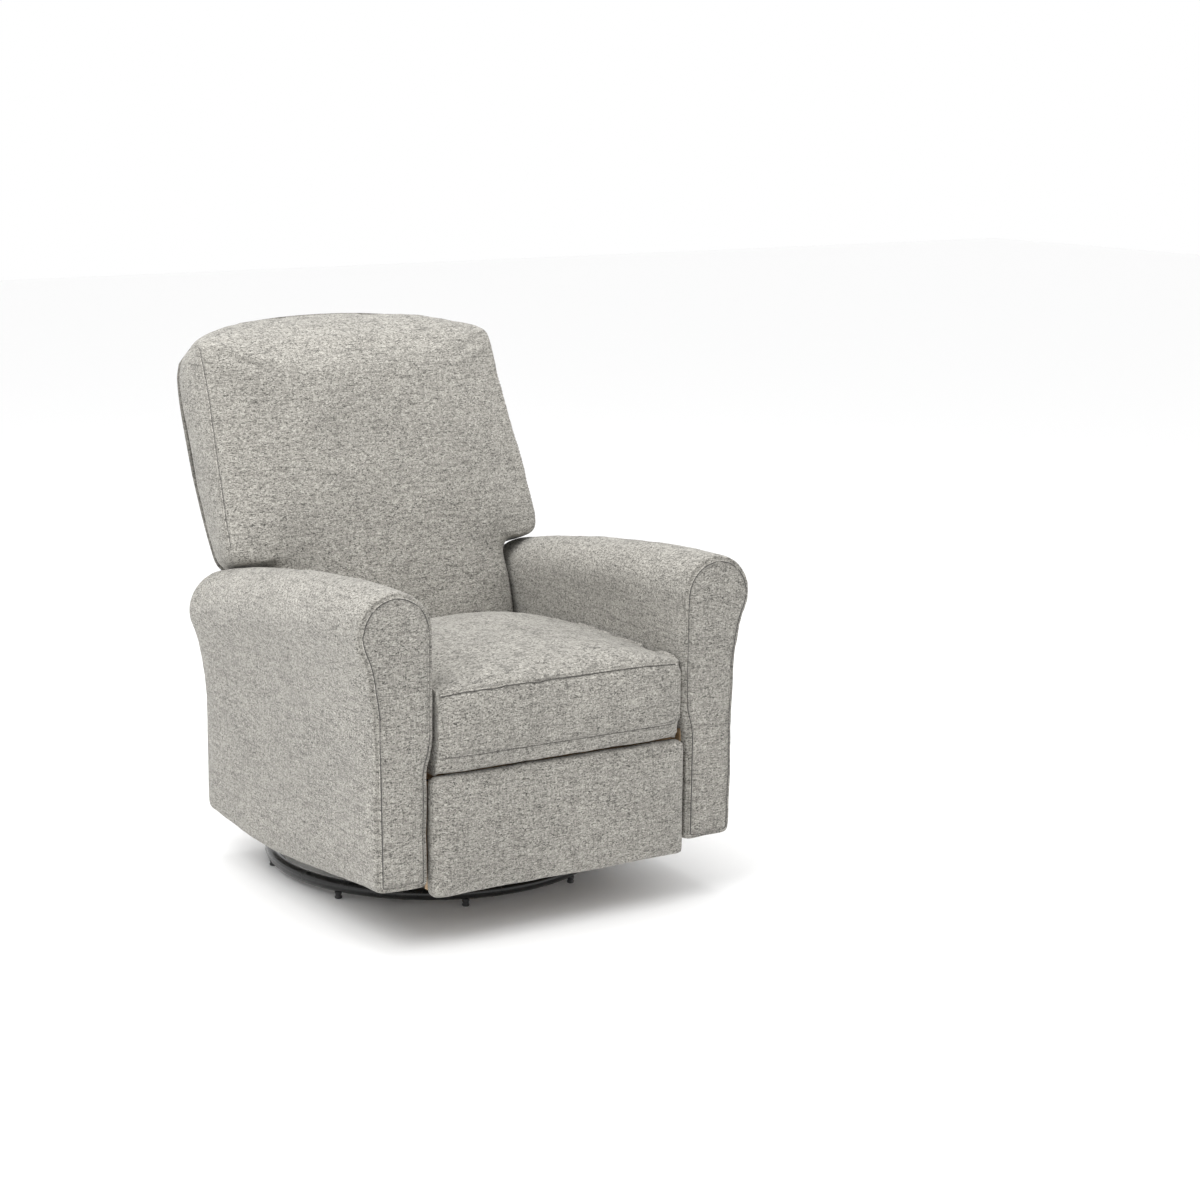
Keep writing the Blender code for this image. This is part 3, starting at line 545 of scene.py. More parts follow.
def weave_height(shader, pitch):
    """Over-and-under height of a plain weave, seen square on from whichever axis the face looks along."""
    x, y, z = shader.split(shader.vector("SCALE", shader.place.outputs["Object"], math.pi / pitch))
    facing = shader.vector("ABSOLUTE", shader.place.outputs["Normal"])
    across = [shader.math("POWER", side, 4.0) for side in shader.split(facing)]
    total = 0.0
    for weight, (a, b) in zip(across, ((y, z), (x, z), (x, y))):
        over = shader.math("MULTIPLY", shader.math("SINE", a), shader.math("SINE", b))
        total = shader.math("ADD", total, shader.math("MULTIPLY", weight, shader.math("ABSOLUTE", over)))
    return total


def chenille(name, shade=1.0):
    """Heathered warm-grey chenille: tufted yarns of five greys, slubs, and a soft nap."""
    tuft_rate, speck_rate, slub_rate, weave_pitch = 450, 590, 110, 0.0021
    s = Shader(name, 0.95)
    s.fix(Sheen_Weight=0.22, Sheen_Roughness=0.45, Sheen_Tint=(0.95, 0.94, 0.92, 1.0))
    s.fix(Specular_IOR_Level=0.18)
    stray = s.vector("SUBTRACT", s.noise(180, 2, colour=True), (0.5, 0.5, 0.5))
    place = s.vector("ADD", s.place.outputs["Object"], s.vector("SCALE", stray, 0.0018))
    tuft = s.cells(tuft_rate, s.scaled((0.6, 0.6, 1.45), place), "Color")
    speck = s.cells(speck_rate, s.scaled((1.35, 1.35, 0.6), place), "Color")
    yarns = [
        (0.0, (0.050, 0.048, 0.043)), (0.11, (0.165, 0.158, 0.143)), (0.27, (0.300, 0.288, 0.260)),
        (0.54, (0.380, 0.365, 0.330)), (0.88, (0.550, 0.531, 0.484)),
    ]
    # shade scales every yarn: above 1 makes a lit copy of the cloth (painted highlight), below 1 a shaded
    # copy (painted shade)
    yarns = [(at, tuple(shade * c for c in colour)) for at, colour in yarns]
    coarse = s.ramp(s.split(tuft)[0], yarns, sharp=True)
    fine = s.ramp(s.split(speck)[1], yarns, sharp=True)
    colour = s.mix(0.42, coarse, fine)
    weft = s.noise(slub_rate, 3, s.scaled((0.22, 0.22, 2.2), place), 0.6)
    colour = s.mix(1.0, colour, s.ramp(weft, [(0.33, 0.72), (0.46, 1.0), (0.70, 1.08)]), "MULTIPLY")
    warp = s.noise(slub_rate, 2, s.scaled((2.2, 2.2, 0.25), place), 0.6)
    colour = s.mix(1.0, colour, s.ramp(warp, [(0.33, 0.80), (0.45, 1.0), (0.70, 1.05)]), "MULTIPLY")
    patch = s.noise(7, 3)
    colour = s.mix(1.0, colour, s.ramp(patch, [(0.3, 0.93), (0.7, 1.05)]), "MULTIPLY")
    tufts = s.cells(tuft_rate, s.scaled((0.6, 0.6, 1.45), place))
    height = s.math("SUBTRACT", weave_height(s, weave_pitch), s.math("MULTIPLY", tufts, 1.4))
    height = s.math("ADD", height, s.math("MULTIPLY", s.noise(900, 2), 0.5))
    return s.done(colour, normal=s.bump(height, 0.0006, 0.85))


def thread_finish(name, shade):
    """Twisted sewing thread, as light as `shade`; made near black, it also serves as the painted shadow in
    the seams.
    """
    s = Shader(name, 0.7)
    s.fix(Sheen_Weight=0.1)
    twist = s.noise(1500, 2)
    colour = s.ramp(twist, [
        (0.35, (0.60 * shade, 0.57 * shade, 0.52 * shade)), (0.65, (shade, 0.96 * shade, 0.88 * shade)),
    ])
    return s.done(colour, normal=s.bump(twist, 0.0002, 0.6))


def wood_finish(name, along):
    """Plain pale hardwood, with its grain along one axis (0 x, 1 y, 2 z)."""
    s = Shader(name, 0.6)
    figure_scale, pore_scale = [26.0, 26.0, 26.0], [900.0, 900.0, 900.0]
    figure_scale[along], pore_scale[along] = 1.6, 30.0
    place = s.scaled(figure_scale)
    warp = s.vector("SCALE", s.noise(0.8, 3, place, colour=True), 1.6)
    figure = s.noise(3.2, 6, s.vector("ADD", place, warp), 0.62)
    colour = s.ramp(figure, [
        (0.25, (0.30, 0.185, 0.095)), (0.45, (0.46, 0.31, 0.175)), (0.62, (0.58, 0.42, 0.26)),
        (0.80, (0.66, 0.50, 0.33)),
    ])
    pores = s.noise(1.0, 2, s.scaled(pore_scale))
    colour = s.mix(0.6, colour, s.ramp(pores, [(0.30, 0.55), (0.42, 1.0)]), "MULTIPLY")
    roughness = s.ramp(figure, [(0.3, 0.68), (0.7, 0.5)])
    return s.done(colour, roughness, s.bump(s.math("ADD", figure, pores), 0.0005, 0.5))


def powder_coat():
    """Glossy black powder coat, with slight orange peel, dust and rubbed spots."""
    s = Shader("black_powder_coat", 0.3)
    s.fix(Coat_Weight=0.25, Coat_Roughness=0.1, Specular_IOR_Level=0.35)
    dust = s.noise(14, 5, roughness=0.65)
    colour = s.ramp(dust, [(0.35, 0.0075), (0.75, 0.016)])
    roughness = s.ramp(s.noise(38, 3), [(0.3, 0.20), (0.7, 0.30)])
    return s.done(colour, roughness, s.bump(s.noise(750, 2), 0.00025, 0.35))


def zinc_finish():
    """Bright zinc plating with its faint spangle and handling marks."""
    s = Shader("zinc_plating", 0.35, 1.0)
    spangle = s.split(s.cells(95, output="Color"))[0]
    colour = s.ramp(spangle, [(0.0, (0.50, 0.51, 0.53)), (1.0, (0.68, 0.69, 0.70))])
    marks = s.noise(60, 6, s.scaled((1.0, 0.25, 1.0)), 0.7)
    roughness = s.ramp(marks, [(0.3, 0.24), (0.7, 0.48)])
    return s.done(colour, roughness, s.bump(marks, 0.0002, 0.4))


def spring_finish():
    """Oiled spring wire, dark with drawn streaks."""
    s = Shader("spring_wire", 0.35, 1.0)
    streak = s.noise(500, 3, s.scaled((0.06, 1.0, 1.0)))
    colour = s.ramp(streak, [(0.3, (0.14, 0.14, 0.15)), (0.7, (0.34, 0.34, 0.35))])
    roughness = s.ramp(streak, [(0.3, 0.28), (0.7, 0.5)])
    return s.done(colour, roughness, s.bump(streak, 0.0001, 0.4))


def plastic_finish():
    """Moulded black plastic with a fine leather-like grain, paler where it is rubbed."""
    s = Shader("moulded_plastic", 0.5)
    grain = s.cells(900)
    rub = s.noise(22, 4)
    colour = s.ramp(rub, [(0.4, (0.018, 0.018, 0.019)), (0.8, (0.045, 0.045, 0.046))])
    roughness = s.ramp(rub, [(0.35, 0.55), (0.75, 0.38)])
    return s.done(colour, roughness, s.bump(grain, 0.0002, 0.5))


FABRIC = chenille(CLOTH)
# The same chenille made darker for the rear welt: painted shade.
SHADED_WELT_FABRIC = chenille("chenille_welt_painted_shade", 0.62)
# The same chenille made lighter for the rolled seam edges: painted highlight.
HIGHLIT_FOLD_FABRIC = chenille("chenille_fold", 1.18)
THREAD = thread_finish("topstitch_thread", 0.36)
# Near-black thread finish for the cord laid in each seam's groove: painted shadow of the crease.
SEAM_SHADOW_CORD = thread_finish("painted_seam_shadow", 0.085)
WOOD = [wood_finish(f"hardwood_{axis}", k) for k, axis in enumerate("xyz")]
HARDWARE = {
    "black_steel": powder_coat(), "zinc_steel": zinc_finish(), "spring_steel": spring_finish(),
    "black_plastic": plastic_finish(),
}


def finish_frame():
    """The pieces kept from CAD get worked edges, smooth round faces and their real finishes."""
    wood_edge, metal_edge = 0.0018, 0.0006
    for name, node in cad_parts.items():
        slot = node.data.materials[0].name.split(".")[0]
        if slot == CLOTH:
            continue
        wooden = slot == "hardwood"
        low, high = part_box(name)
        size = [b - a for a, b in zip(low, high)]
        node.data.materials[0] = WOOD[size.index(max(size))] if wooden else HARDWARE[slot]
        node.data.set_sharp_from_angle(angle=math.radians(32))
        bevel = node.modifiers.new("worked_edges", "BEVEL")
        bevel.width = wood_edge if wooden else metal_edge
        bevel.segments, bevel.limit_method, bevel.angle_limit = 2, "ANGLE", math.radians(40)


# ---------------------------------------------------------------- arms
(ARM_INNER, ARM_FRONT, _), (_, ARM_REAR, _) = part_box("arm_pad_left")
ROLL_RADIUS = 0.079
ROLL_X = ARM_INNER + ROLL_RADIUS
ROLL_HEIGHT, ROLL_FALL = 0.583, 0.084      # of the roll's centre: in front, and its fall to the rear
ARM_OUTER = 0.386            # of the outer side below the roll
ARM_EASE = 0.0025            # what the cloth is drawn in by before it is filled
FRONT_EDGE = 0.009           # radius of the cloth over the front edge, where the seam lies
REAR_EDGE, REAR_DRAWN = 0.026, 0.024       # length and depth of the rounding at the rear


def arm_share(y):
    """How far back along the arm: 0 in front, 1 at the rear."""
    return (y - ARM_FRONT) / (ARM_REAR - ARM_FRONT)


def roll_height(y):
    """Height of the arm roll's centre: level in front, falling away to the rear."""
    return ROLL_HEIGHT - ROLL_FALL * np.clip(arm_share(y), 0, 1) ** 1.9


def arm_bottom(y):
    """Height of the arm's lower edge: lowest behind the middle."""
    t = arm_share(y)
    return 0.112 - 0.034 * smooth_step(t / 0.62) + 0.012 * smooth_step((t - 0.72) / 0.28)


def arm_outline(y, count=110):
    """(x, z) outline of the sitter's-left arm: straight inside, rolled on top, drawn in below."""
    z, low = float(roll_height(y)), float(arm_bottom(y))
    inner, inner_low, outer, turn = ARM_INNER, ARM_INNER + 0.0125, ARM_OUTER, 0.016
    over = arc((ROLL_X, z), ROLL_RADIUS, 180, -27, 36)
    neck = bezier(
        over[-1], over[-1] + [-0.013, -0.024], [outer + 0.012, z - 0.088], [outer + 0.004, z - 0.135], 9
    )
    below = bezier(
        neck[-1], neck[-1] + [-0.003, -0.05], [outer + 0.001, low + 0.09], [outer, low + turn], 8
    )
    corner = arc((outer - turn, low + turn), turn, 0, -90, 6)
    rest = [(inner_low + 0.006, low), (inner_low, low + 0.006), (inner_low, 0.330), (inner + 0.001, 0.368)]
    outline = np.vstack([over, neck[1:], below[1:], corner[1:], rest])
    return anticlockwise(resample(outline, count))


def standing(outline, y, side=1.0):
    """An (x, z) outline as points of the plane at y, mirrored when side is -1."""
    return np.column_stack([side * outline[:, 0], np.full(len(outline), y), outline[:, 1]])


def inset(outline, distance):
    """An anticlockwise outline drawn in by a distance, or let out if it is negative."""
    return outline - outward(outline) * distance


def outline_distance(points, outline):
    """Distance in the plane from points to a closed outline, negative outside."""
    ends = np.roll(outline, -1, axis=0)
    best = np.full(len(points), np.inf)
    inside = np.zeros(len(points), bool)
    for a, b in zip(outline, ends):
        along = b - a
        t = np.clip(((points - a) @ along) / (along @ along + 1e-12), 0, 1)
        best = np.minimum(best, np.linalg.norm(points - a - t[:, None] * along, axis=1))
        crosses = (a[1] > points[:, 1]) != (b[1] > points[:, 1])
        with np.errstate(divide="ignore", invalid="ignore"):
            at = a[0] + (points[:, 1] - a[1]) * (b[0] - a[0]) / (b[1] - a[1])
        inside ^= crosses & (points[:, 0] < at)
    return np.where(inside, best, -best)


def arm_rings(side):
    """Rings of one arm from front to rear, rounded over at both ends."""
    stations = np.concatenate([
        ARM_FRONT + FRONT_EDGE * np.array([0.0, 0.15, 0.5, 1.0]),
        np.linspace(ARM_FRONT + 0.02, ARM_REAR - 0.03, 26),
        ARM_REAR - REAR_EDGE * np.array([0.75, 0.45, 0.2, 0.05, 0.0]),
    ])
    rings = []
    for y in stations:
        front = max(0.0, 1 - (y - ARM_FRONT) / FRONT_EDGE)
        rear = max(0.0, 1 - (ARM_REAR - y) / REAR_EDGE)
        front_drawn = FRONT_EDGE * (1 - math.sqrt(1 - front**2))
        rear_drawn = REAR_DRAWN * (1 - math.sqrt(1 - rear**2))
        rings.append(standing(inset(arm_outline(y), ARM_EASE + front_drawn + rear_drawn), y, side))
    return rings


def arm_hold(points, side):
    """Where the filling can't move the arm's cloth: against the seat, underneath and at the ends."""
    x, y, z = side * points[:, 0], points[:, 1], points[:, 2]
    inner = smooth_step((ROLL_X - 0.050 - x) / 0.016) * smooth_step((roll_height(y) + 0.010 - z) / 0.03)
    under = smooth_step((arm_bottom(y) + 0.02 - z) / 0.012)
    ends = smooth_step((ARM_FRONT + 0.014 - y) / 0.008) + 0.5 * smooth_step((y - ARM_REAR + 0.03) / 0.02)
    return np.clip(np.maximum(np.maximum(inner, under), ends), 0, 1)


def shape_arm_front(arm, side, outline):
    """The stuffed front panel: crowned, with a groove for the seam and a rolled edge outside it."""
    points, normals = read_points(arm), read_normals(arm)
    plane = np.column_stack([side * points[:, 0], points[:, 2]])
    front = (points[:, 1] < ARM_FRONT + 0.012) & (normals[:, 1] < -0.2)
    depth = outline_distance(plane[front], outline)
    crown = 0.0058 * (1 - np.exp(-np.clip(depth - FRONT_EDGE, 0, None) / 0.020))
    groove = 0.0030 * np.exp(-(((depth - FRONT_EDGE - 0.0015) / 0.0032) ** 2))
    ridge = 0.0012 * np.exp(-(((depth - 0.0045) / 0.0035) ** 2))
    points[front, 1] += groove - crown - ridge
    write_points(arm, points)


def clear_seat_side(arm, side):
    """Keeps the arm's inner side off the seat cushion and, lower down, off the boards."""
    points = read_points(arm)
    limit = np.where(points[:, 2] < 0.335, ARM_INNER + 0.0105, ARM_INNER + 0.0004)
    points[:, 0] = side * np.maximum(side * points[:, 0], limit)
    write_points(arm, points)


def arm_front_line(side, outline, drawn):
    """An open path round the arm's front panel, from its lower edge up, over and down again."""
    line = resample(inset(outline, drawn), 520)
    path = standing(line, ARM_FRONT - 0.006, side)
    path = path[path[:, 2] > arm_bottom(ARM_FRONT) + 0.004]
    steps = np.linalg.norm(np.diff(np.vstack([path, path[:1]]), axis=0), axis=1)
    return dense(np.roll(path, -(int(np.argmax(steps)) + 1), axis=0))


def make_arm(label, side, seed):
    arm = loft(f"arm_{label}", arm_rings(side), "seat_body")
    fabric_mesh(arm, VOXEL, 2)
    puff(arm, arm_hold(read_points(arm), side), pressure=4.0, most=0.006)
    subdivide(arm)
    outline = arm_outline(ARM_FRONT)
    shape_arm_front(arm, side, outline)
    ripple(arm, seed)
    clear_seat_side(arm, side)

    finder = surface_finder(arm)
    seam = FRONT_EDGE + 0.0012
    on, _ = laid_on(finder, arm_front_line(side, outline, seam - 0.0024), -0.0002)
    # the rolled edge beside the seam, in lighter cloth: painted highlight on the fold
    cord(f"arm_{label}_fold", on, 0.0017, "seat_body", HIGHLIT_FOLD_FABRIC, sides=10)
    on, _ = laid_on(finder, arm_front_line(side, outline, seam), 0.0008)
    # dark cord in the seam's groove: painted shadow of the crease
    cord(f"arm_{label}_join", on, 0.0010, "seat_body", SEAM_SHADOW_CORD, sides=6)
    topstitch(f"arm_{label}_stitching", finder, arm_front_line(side, outline, seam + 0.0050), "seat_body")
    settle_in(arm, FABRIC, [f"arm_pad_{label}"])


# ---------------------------------------------------------------- seat cushion
SEAT_LOW, SEAT_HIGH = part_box("seat_cushion")
RAIL_LOW, RAIL_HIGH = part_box("seat_rail_front")
SEAT_HALF = SEAT_HIGH[0] - 0.0015
SEAT_FRONT = SEAT_LOW[1]
SEAT_REAR = SEAT_HIGH[1] + 0.012
LIP_Z = SEAT_LOW[2] - 0.001
UNDER_Z = RAIL_HIGH[2] + 0.006
RAIL_FRONT = RAIL_LOW[1]
TOP_SEAM = (SEAT_FRONT + 0.010, LIP_Z + 0.147)      # y, z of the seam between top and front band
LOW_SEAM_Z = LIP_Z + 0.030
SEAT_EDGE = 0.007            # rounding of the cushion's ends, against the arms
LEVER_SLOT_X = 0.2505        # the cushion's side is drawn in to here beside the release lever


def seat_outline(x):
    """(y, z) outline of the seat at one place across it."""
    edge = abs(x) / SEAT_HALF
    crown = 1 - edge**3.2
    top = LIP_Z + 0.150 + 0.032 * crown
    corner = smooth_step((edge - 0.93) / 0.07)
    front = SEAT_FRONT + 0.004 - 0.004 * crown + 0.010 * corner
    seam_y, seam_z = TOP_SEAM[0] + 0.006 * corner, TOP_SEAM[1] - 0.004 * edge**6
    band = bezier(
        (front + 0.010, LIP_Z), (front - 0.004, LIP_Z + 0.02), (front - 0.007, LIP_Z + 0.10),
        (seam_y, seam_z), 14,
    )
    over = bezier(
        band[-1], (seam_y + 0.004, seam_z + 0.018), (seam_y + 0.05, top - 0.004),
        (SEAT_FRONT + 0.13, top), 14,
    )
    back = bezier(
        over[-1], (SEAT_FRONT + 0.32, top + 0.006), (SEAT_REAR - 0.05, top + 0.002),
        (SEAT_REAR, top - 0.040), 22,
    )
    under = [
        (SEAT_REAR, UNDER_Z + 0.012), (SEAT_REAR - 0.010, UNDER_Z), (RAIL_FRONT + 0.010, UNDER_Z),
        (RAIL_FRONT - 0.003, UNDER_Z - 0.004), (RAIL_FRONT - 0.003, LIP_Z + 0.004),
        (RAIL_FRONT - 0.008, LIP_Z),
    ]
    return resample(np.vstack([band, over[1:], back[1:], under]), 150)


def seat_rings():
    """Rings of the seat from one side to the other, closer together near the arms."""
    rings = []
    for x in SEAT_HALF * np.sin(np.linspace(-0.5, 0.5, 41) * math.pi):
        end = max(0.0, (abs(x) - (SEAT_HALF - SEAT_EDGE)) / SEAT_EDGE)
        drawn = SEAT_EDGE * (1 - math.sqrt(max(0.0, 1 - end**2)))
        ring = inset(seat_outline(x), drawn)
        rings.append(np.column_stack([np.full(len(ring), x), ring]))
    return rings


def seat_hold(points):
    """Where the filling can't move the seat's cloth: at the arms, underneath, behind and at the seam."""
    x, y, z = points.T
    sides = smooth_step((np.abs(x) - SEAT_HALF + 0.016) / 0.010)
    on_rails = smooth_step((UNDER_Z + 0.020 - z) / 0.010) * (y > RAIL_FRONT - 0.006)
    lip = smooth_step((LIP_Z + 0.012 - z) / 0.008)
    rear = smooth_step((y - SEAT_REAR + 0.012) / 0.008)
    seam = np.exp(-((np.hypot(y - TOP_SEAM[0], z - TOP_SEAM[1]) / 0.010) ** 2))
    return np.clip(np.maximum.reduce([sides, on_rails, lip, rear, seam]), 0, 1)


def sew_seat(seat):
    """Draws in the seams of the front band and of both top corners. Gives back the band's two paths."""
    ends = SEAT_HALF - 0.004
    row = np.linspace(-ends, ends, 400)
    top_path = dense(np.column_stack([
        row, TOP_SEAM[0] - 0.004 + 0.010 * smooth_step((np.abs(row) - 0.225) / 0.035),
        TOP_SEAM[1] + 0.001 - 0.006 * smooth_step((np.abs(row) - 0.20) / 0.06),
    ]))
    low_path = dense(np.column_stack([row, np.full(400, SEAT_FRONT - 0.002), np.full(400, LOW_SEAM_Z)]))
    finder = surface_finder(seat)
    top_path, _ = laid_on(finder, top_path, 0.0)
    low_path, _ = laid_on(finder, low_path, 0.0)
    sew(seat, top_path, 0.0036, 0.0042, 0.0008, 11)
    sew(seat, low_path, 0.0012, 0.0040, 0.0003, 12)
    for corner in (-1, 1):
        mitre = dense([
            (corner * (SEAT_HALF - 0.012), TOP_SEAM[0] + 0.006, TOP_SEAM[1]),
            (corner * (SEAT_HALF - 0.006), TOP_SEAM[0] + 0.05, TOP_SEAM[1] + 0.006),
            (corner * (SEAT_HALF - 0.004), SEAT_REAR - 0.02, TOP_SEAM[1] + 0.004),
        ])
        mitre, _ = laid_on(finder, mitre, 0.0)
        sew(seat, mitre, 0.0022, 0.004, 0.0006, 13)
    return top_path, low_path


def clear_arms_and_lever(seat):
    """Keeps the cushion between the arms, and draws its side in where the release lever swings."""
    points = read_points(seat)
    lever_low, lever_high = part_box("release_lever")
    near = (
        smooth_step((points[:, 1] - lever_low[1] + 0.022) / 0.012)
        * smooth_step((lever_high[1] + 0.112 - points[:, 1]) / 0.012)
        * (points[:, 0] < 0)
    )
    limit = -SEAT_HALF + near * (SEAT_HALF - LEVER_SLOT_X)
    points[:, 0] = np.clip(points[:, 0], limit, SEAT_HALF)
    write_points(seat, points)


def make_seat():
    seat = loft("seat_pad", seat_rings(), "seat_body")
    fabric_mesh(seat, VOXEL, 2)
    puff(seat, seat_hold(read_points(seat)), pressure=4.0, most=0.012)
    subdivide(seat)
    top_path, low_path = sew_seat(seat)
    ripple(seat, 21, 0.0012)

    finder = surface_finder(seat)
    topstitch("seat_top_stitching", finder, top_path + (0.0, 0.0012, 0.0052), "seat_body")
    topstitch("seat_low_stitching", finder, low_path + (0.0, 0.0, 0.0046), "seat_body")
    seam_line("seat_top", finder, top_path, "seat_body", 0.0006, away=(0.0, 0.0004, 0.0026), fold=0.0020)
    seam_line("seat_low", finder, low_path, "seat_body", 0.0005)
    clear_arms_and_lever(seat)
    settle_in(seat, FABRIC, ["seat_cushion"])


# ---------------------------------------------------------------- back
TILT = math.radians(24.0)
PIVOT = (0.130, 0.300)
LOW_HALF = 0.2572            # half width between the arms
WING_U = 0.292               # height up the back where it widens over the arms
WING_FILLET = 0.045          # radius of the hollow below each wing
WING_TURN = 0.034            # rounding of each wing's lower edge
WING_SLANT = 0.11            # how much lower the wings' undersides are in front
REAR_V = 0.0156
TOP_U = 0.8190
BACK_STATIONS = np.array([   # u, front half width, rear half width, front face v
    (0.044, 0.2572, 0.2572, -0.074), (0.100, 0.2572, 0.2572, -0.098), (0.200, 0.2572, 0.2572, -0.108),
    (0.300, 0.3545, 0.333, -0.107), (0.360, 0.3535, 0.340, -0.108), (0.420, 0.351, 0.344, -0.109),
    (0.500, 0.3465, 0.347, -0.109), (0.560, 0.343, 0.3465, -0.108), (0.640, 0.3365, 0.345, -0.107),
    (0.700, 0.334, 0.340, -0.107), (0.731, 0.331, 0.329, -0.101), (0.750, 0.319, 0.310, -0.085),
    (0.770, 0.295, 0.288, -0.053), (0.787, 0.263, 0.252, -0.027), (0.802, 0.216, 0.206, -0.007),
    (0.812, 0.150, 0.146, 0.004), (0.818, 0.070, 0.066, 0.008),
])


def back_place(points):
    """(x, u, v) of the back to (x, y, z): u runs up it from the pivot, v out of its rear face."""
    x, u, v = np.asarray(points, float).T
    y = PIVOT[0] + u * math.sin(TILT) + v * math.cos(TILT)
    z = PIVOT[1] + u * math.cos(TILT) - v * math.sin(TILT)
    return np.column_stack([x, y, z])


def back_frame(points):
    """(x, y, z) to the back's own (x, u, v)."""
    y, z = points[:, 1] - PIVOT[0], points[:, 2] - PIVOT[1]
    return points[:, 0], y * math.sin(TILT) + z * math.cos(TILT), y * math.cos(TILT) - z * math.sin(TILT)


def back_size(u):
    """Front half width, rear half width and front v at height u, with the wings' rounded undersides."""
    front, rear, v = (np.interp(u, BACK_STATIONS[:, 0], BACK_STATIONS[:, k]) for k in (1, 2, 3))
    if u < 0.300:
        front, rear = 0.352, 0.333
    rise = np.clip((u - WING_U) / WING_TURN, 0.0, 1.0)
    hollow = np.clip(u - WING_U + WING_FILLET, 0.0, 0.98 * WING_FILLET)
    fillet = WING_FILLET - math.sqrt(WING_FILLET**2 - hollow**2)
    if rise <= 0:
        return LOW_HALF + fillet, LOW_HALF + 0.3 * fillet, v
    drawn = WING_TURN * (1 - math.sqrt(1 - (1 - rise) ** 2))
    return front - drawn, rear - drawn, v


def back_slice(u):
    """One ring round the back at height u: flat behind, boxed at the sides, crowned in front."""
    front, rear, v = back_size(u)
    deep = REAR_V - v
    corner = min(float(np.interp(u, (0.64, 0.72), (0.030, 0.018))), 0.45 * deep)
    crown = 0.010 * min(1.0, deep / 0.10)
    bulge = 0.004 if u > WING_U else 0.0
    rear += 0.0022 if u > WING_U else 0.0
    side = bezier(
        (rear, REAR_V), (rear + 2 * bulge, REAR_V - 0.3 * deep),
        (front + bulge, v + corner + 0.3 * deep), (front, v + corner), 10,
    )
    turn = bezier(
        side[-1], (front - 0.002, v + 0.35 * corner), (front - 0.45 * corner, v + 0.02 * corner),
        (front - corner, v), 8,
    )
    shares = np.linspace((front - corner) / front, 0, 8)[1:]
    face = [(front * t, v - crown * (1 - t**2.6)) for t in shares]
    half = np.vstack([side, turn[1:], face])
    ring = resample(np.vstack([half, half[::-1][1:] * [-1, 1]]), 130)
    slant = WING_SLANT * smooth_step((u - WING_U + 0.004) / 0.004) * (1 - smooth_step((u - WING_U) / 0.10))
    heights = u + slant * np.minimum(ring[:, 1] + 0.01, 0)
    return back_place(np.column_stack([ring[:, 0], heights, ring[:, 1]]))


def side_seam(side):
    """Boxing seam up one side of the front panel, then back over the shoulder to the rear welt."""
    sizes = [(u, *back_size(u)) for u in np.linspace(0.318, 0.726, 40)]
    up = [(side * (front - 0.003), u, v + 0.016) for u, front, _, v in sizes]
    over = [
        (side * 0.331, 0.738, -0.080), (side * 0.329, 0.744, -0.059), (side * 0.325, 0.749, -0.036),
        (side * 0.319, 0.752, -0.014), (side * 0.313, 0.754, 0.010),
    ]
    return dense(back_place(np.array(up + over)))


def back_hold(points):
    """Where the filling can't move the back's cloth: on the frame, under the wings and at the seams."""
    x, u, v = back_frame(points)
    rear = smooth_step((v - REAR_V + 0.014) / 0.010)
    beside_seat = smooth_step((np.abs(x) - LOW_HALF + 0.014) / 0.010)
    low_sides = beside_seat * smooth_step((WING_U + 0.012 - u) / 0.012)
    under = smooth_step((0.062 - u) / 0.012)
    wing_under = smooth_step((WING_U + 0.014 - u) / 0.010) * (np.abs(x) > LOW_HALF - 0.004)
    edges = np.zeros(len(x))
    for side in (-1, 1):
        distance, _ = nearest_on(points, side_seam(side))
        near = np.where(np.isfinite(distance), distance, 1.0)
        edges = np.maximum(edges, np.exp(-((near / 0.012) ** 2)))
    return np.clip(np.maximum.reduce([rear, low_sides, under, wing_under, 0.9 * edges]), 0, 1)


def make_back():
    heights = np.concatenate([
        [0.044, 0.050, 0.060], np.linspace(0.075, 0.245, 12), np.linspace(0.250, WING_U - 0.0005, 14),
        WING_U + WING_TURN * np.array([0.02, 0.1, 0.25, 0.5, 0.75, 1.0]), np.linspace(0.340, 0.700, 20),
        np.linspace(0.712, 0.800, 12), [0.806, 0.812, 0.816, TOP_U],
    ])
    back = loft("back_pad", [back_slice(float(u)) for u in heights], "back")
    fabric_mesh(back, VOXEL, 3)
    puff(back, back_hold(read_points(back)), pressure=4.0, most=0.012)
    subdivide(back)
    hollow_back(back)

    finder = surface_finder(back)
    seams = []
    for side in (-1, 1):
        path, _ = laid_on(finder, side_seam(side), 0.0)
        seams.append(path)
        sew(back, path, 0.0030, 0.0042, 0.0009, 31 + side)
    ripple(back, 41, 0.0013)

    finder = surface_finder(back)
    rearward = (back_place([(0, 0, 1.0)]) - back_place([(0, 0, 0.0)]))[0]
    for label, side, path in zip(("right", "left"), (-1, 1), seams):
        on = seam_line(f"back_{label}", finder, path, "back", 0.0006, away=0.0026 * rearward, fold=0.0021)
        stitched = on[: int(0.9 * len(on))]
        inward = np.array([-side * 0.0058, 0.0, 0.0])
        topstitch(f"back_{label}_inner_stitching", finder, stitched + inward, "back")
        topstitch(f"back_{label}_outer_stitching", finder, stitched + 0.0068 * rearward, "back")
    settle_in(back, FABRIC, ["back_cushion"])


def hollow_back(back):
    """Keeps the cloth in front of the outside back and, below the wings, between the arms."""
    points = read_points(back)
    x, u, v = back_frame(points)
    v = np.minimum(v, REAR_V + 0.0012)
    limit = LOW_HALF + 0.0004
    side = np.where(u < WING_U - 0.95 * WING_FILLET, np.clip(x, -limit, limit), x)
    write_points(back, back_place(np.column_stack([side, u, v])))


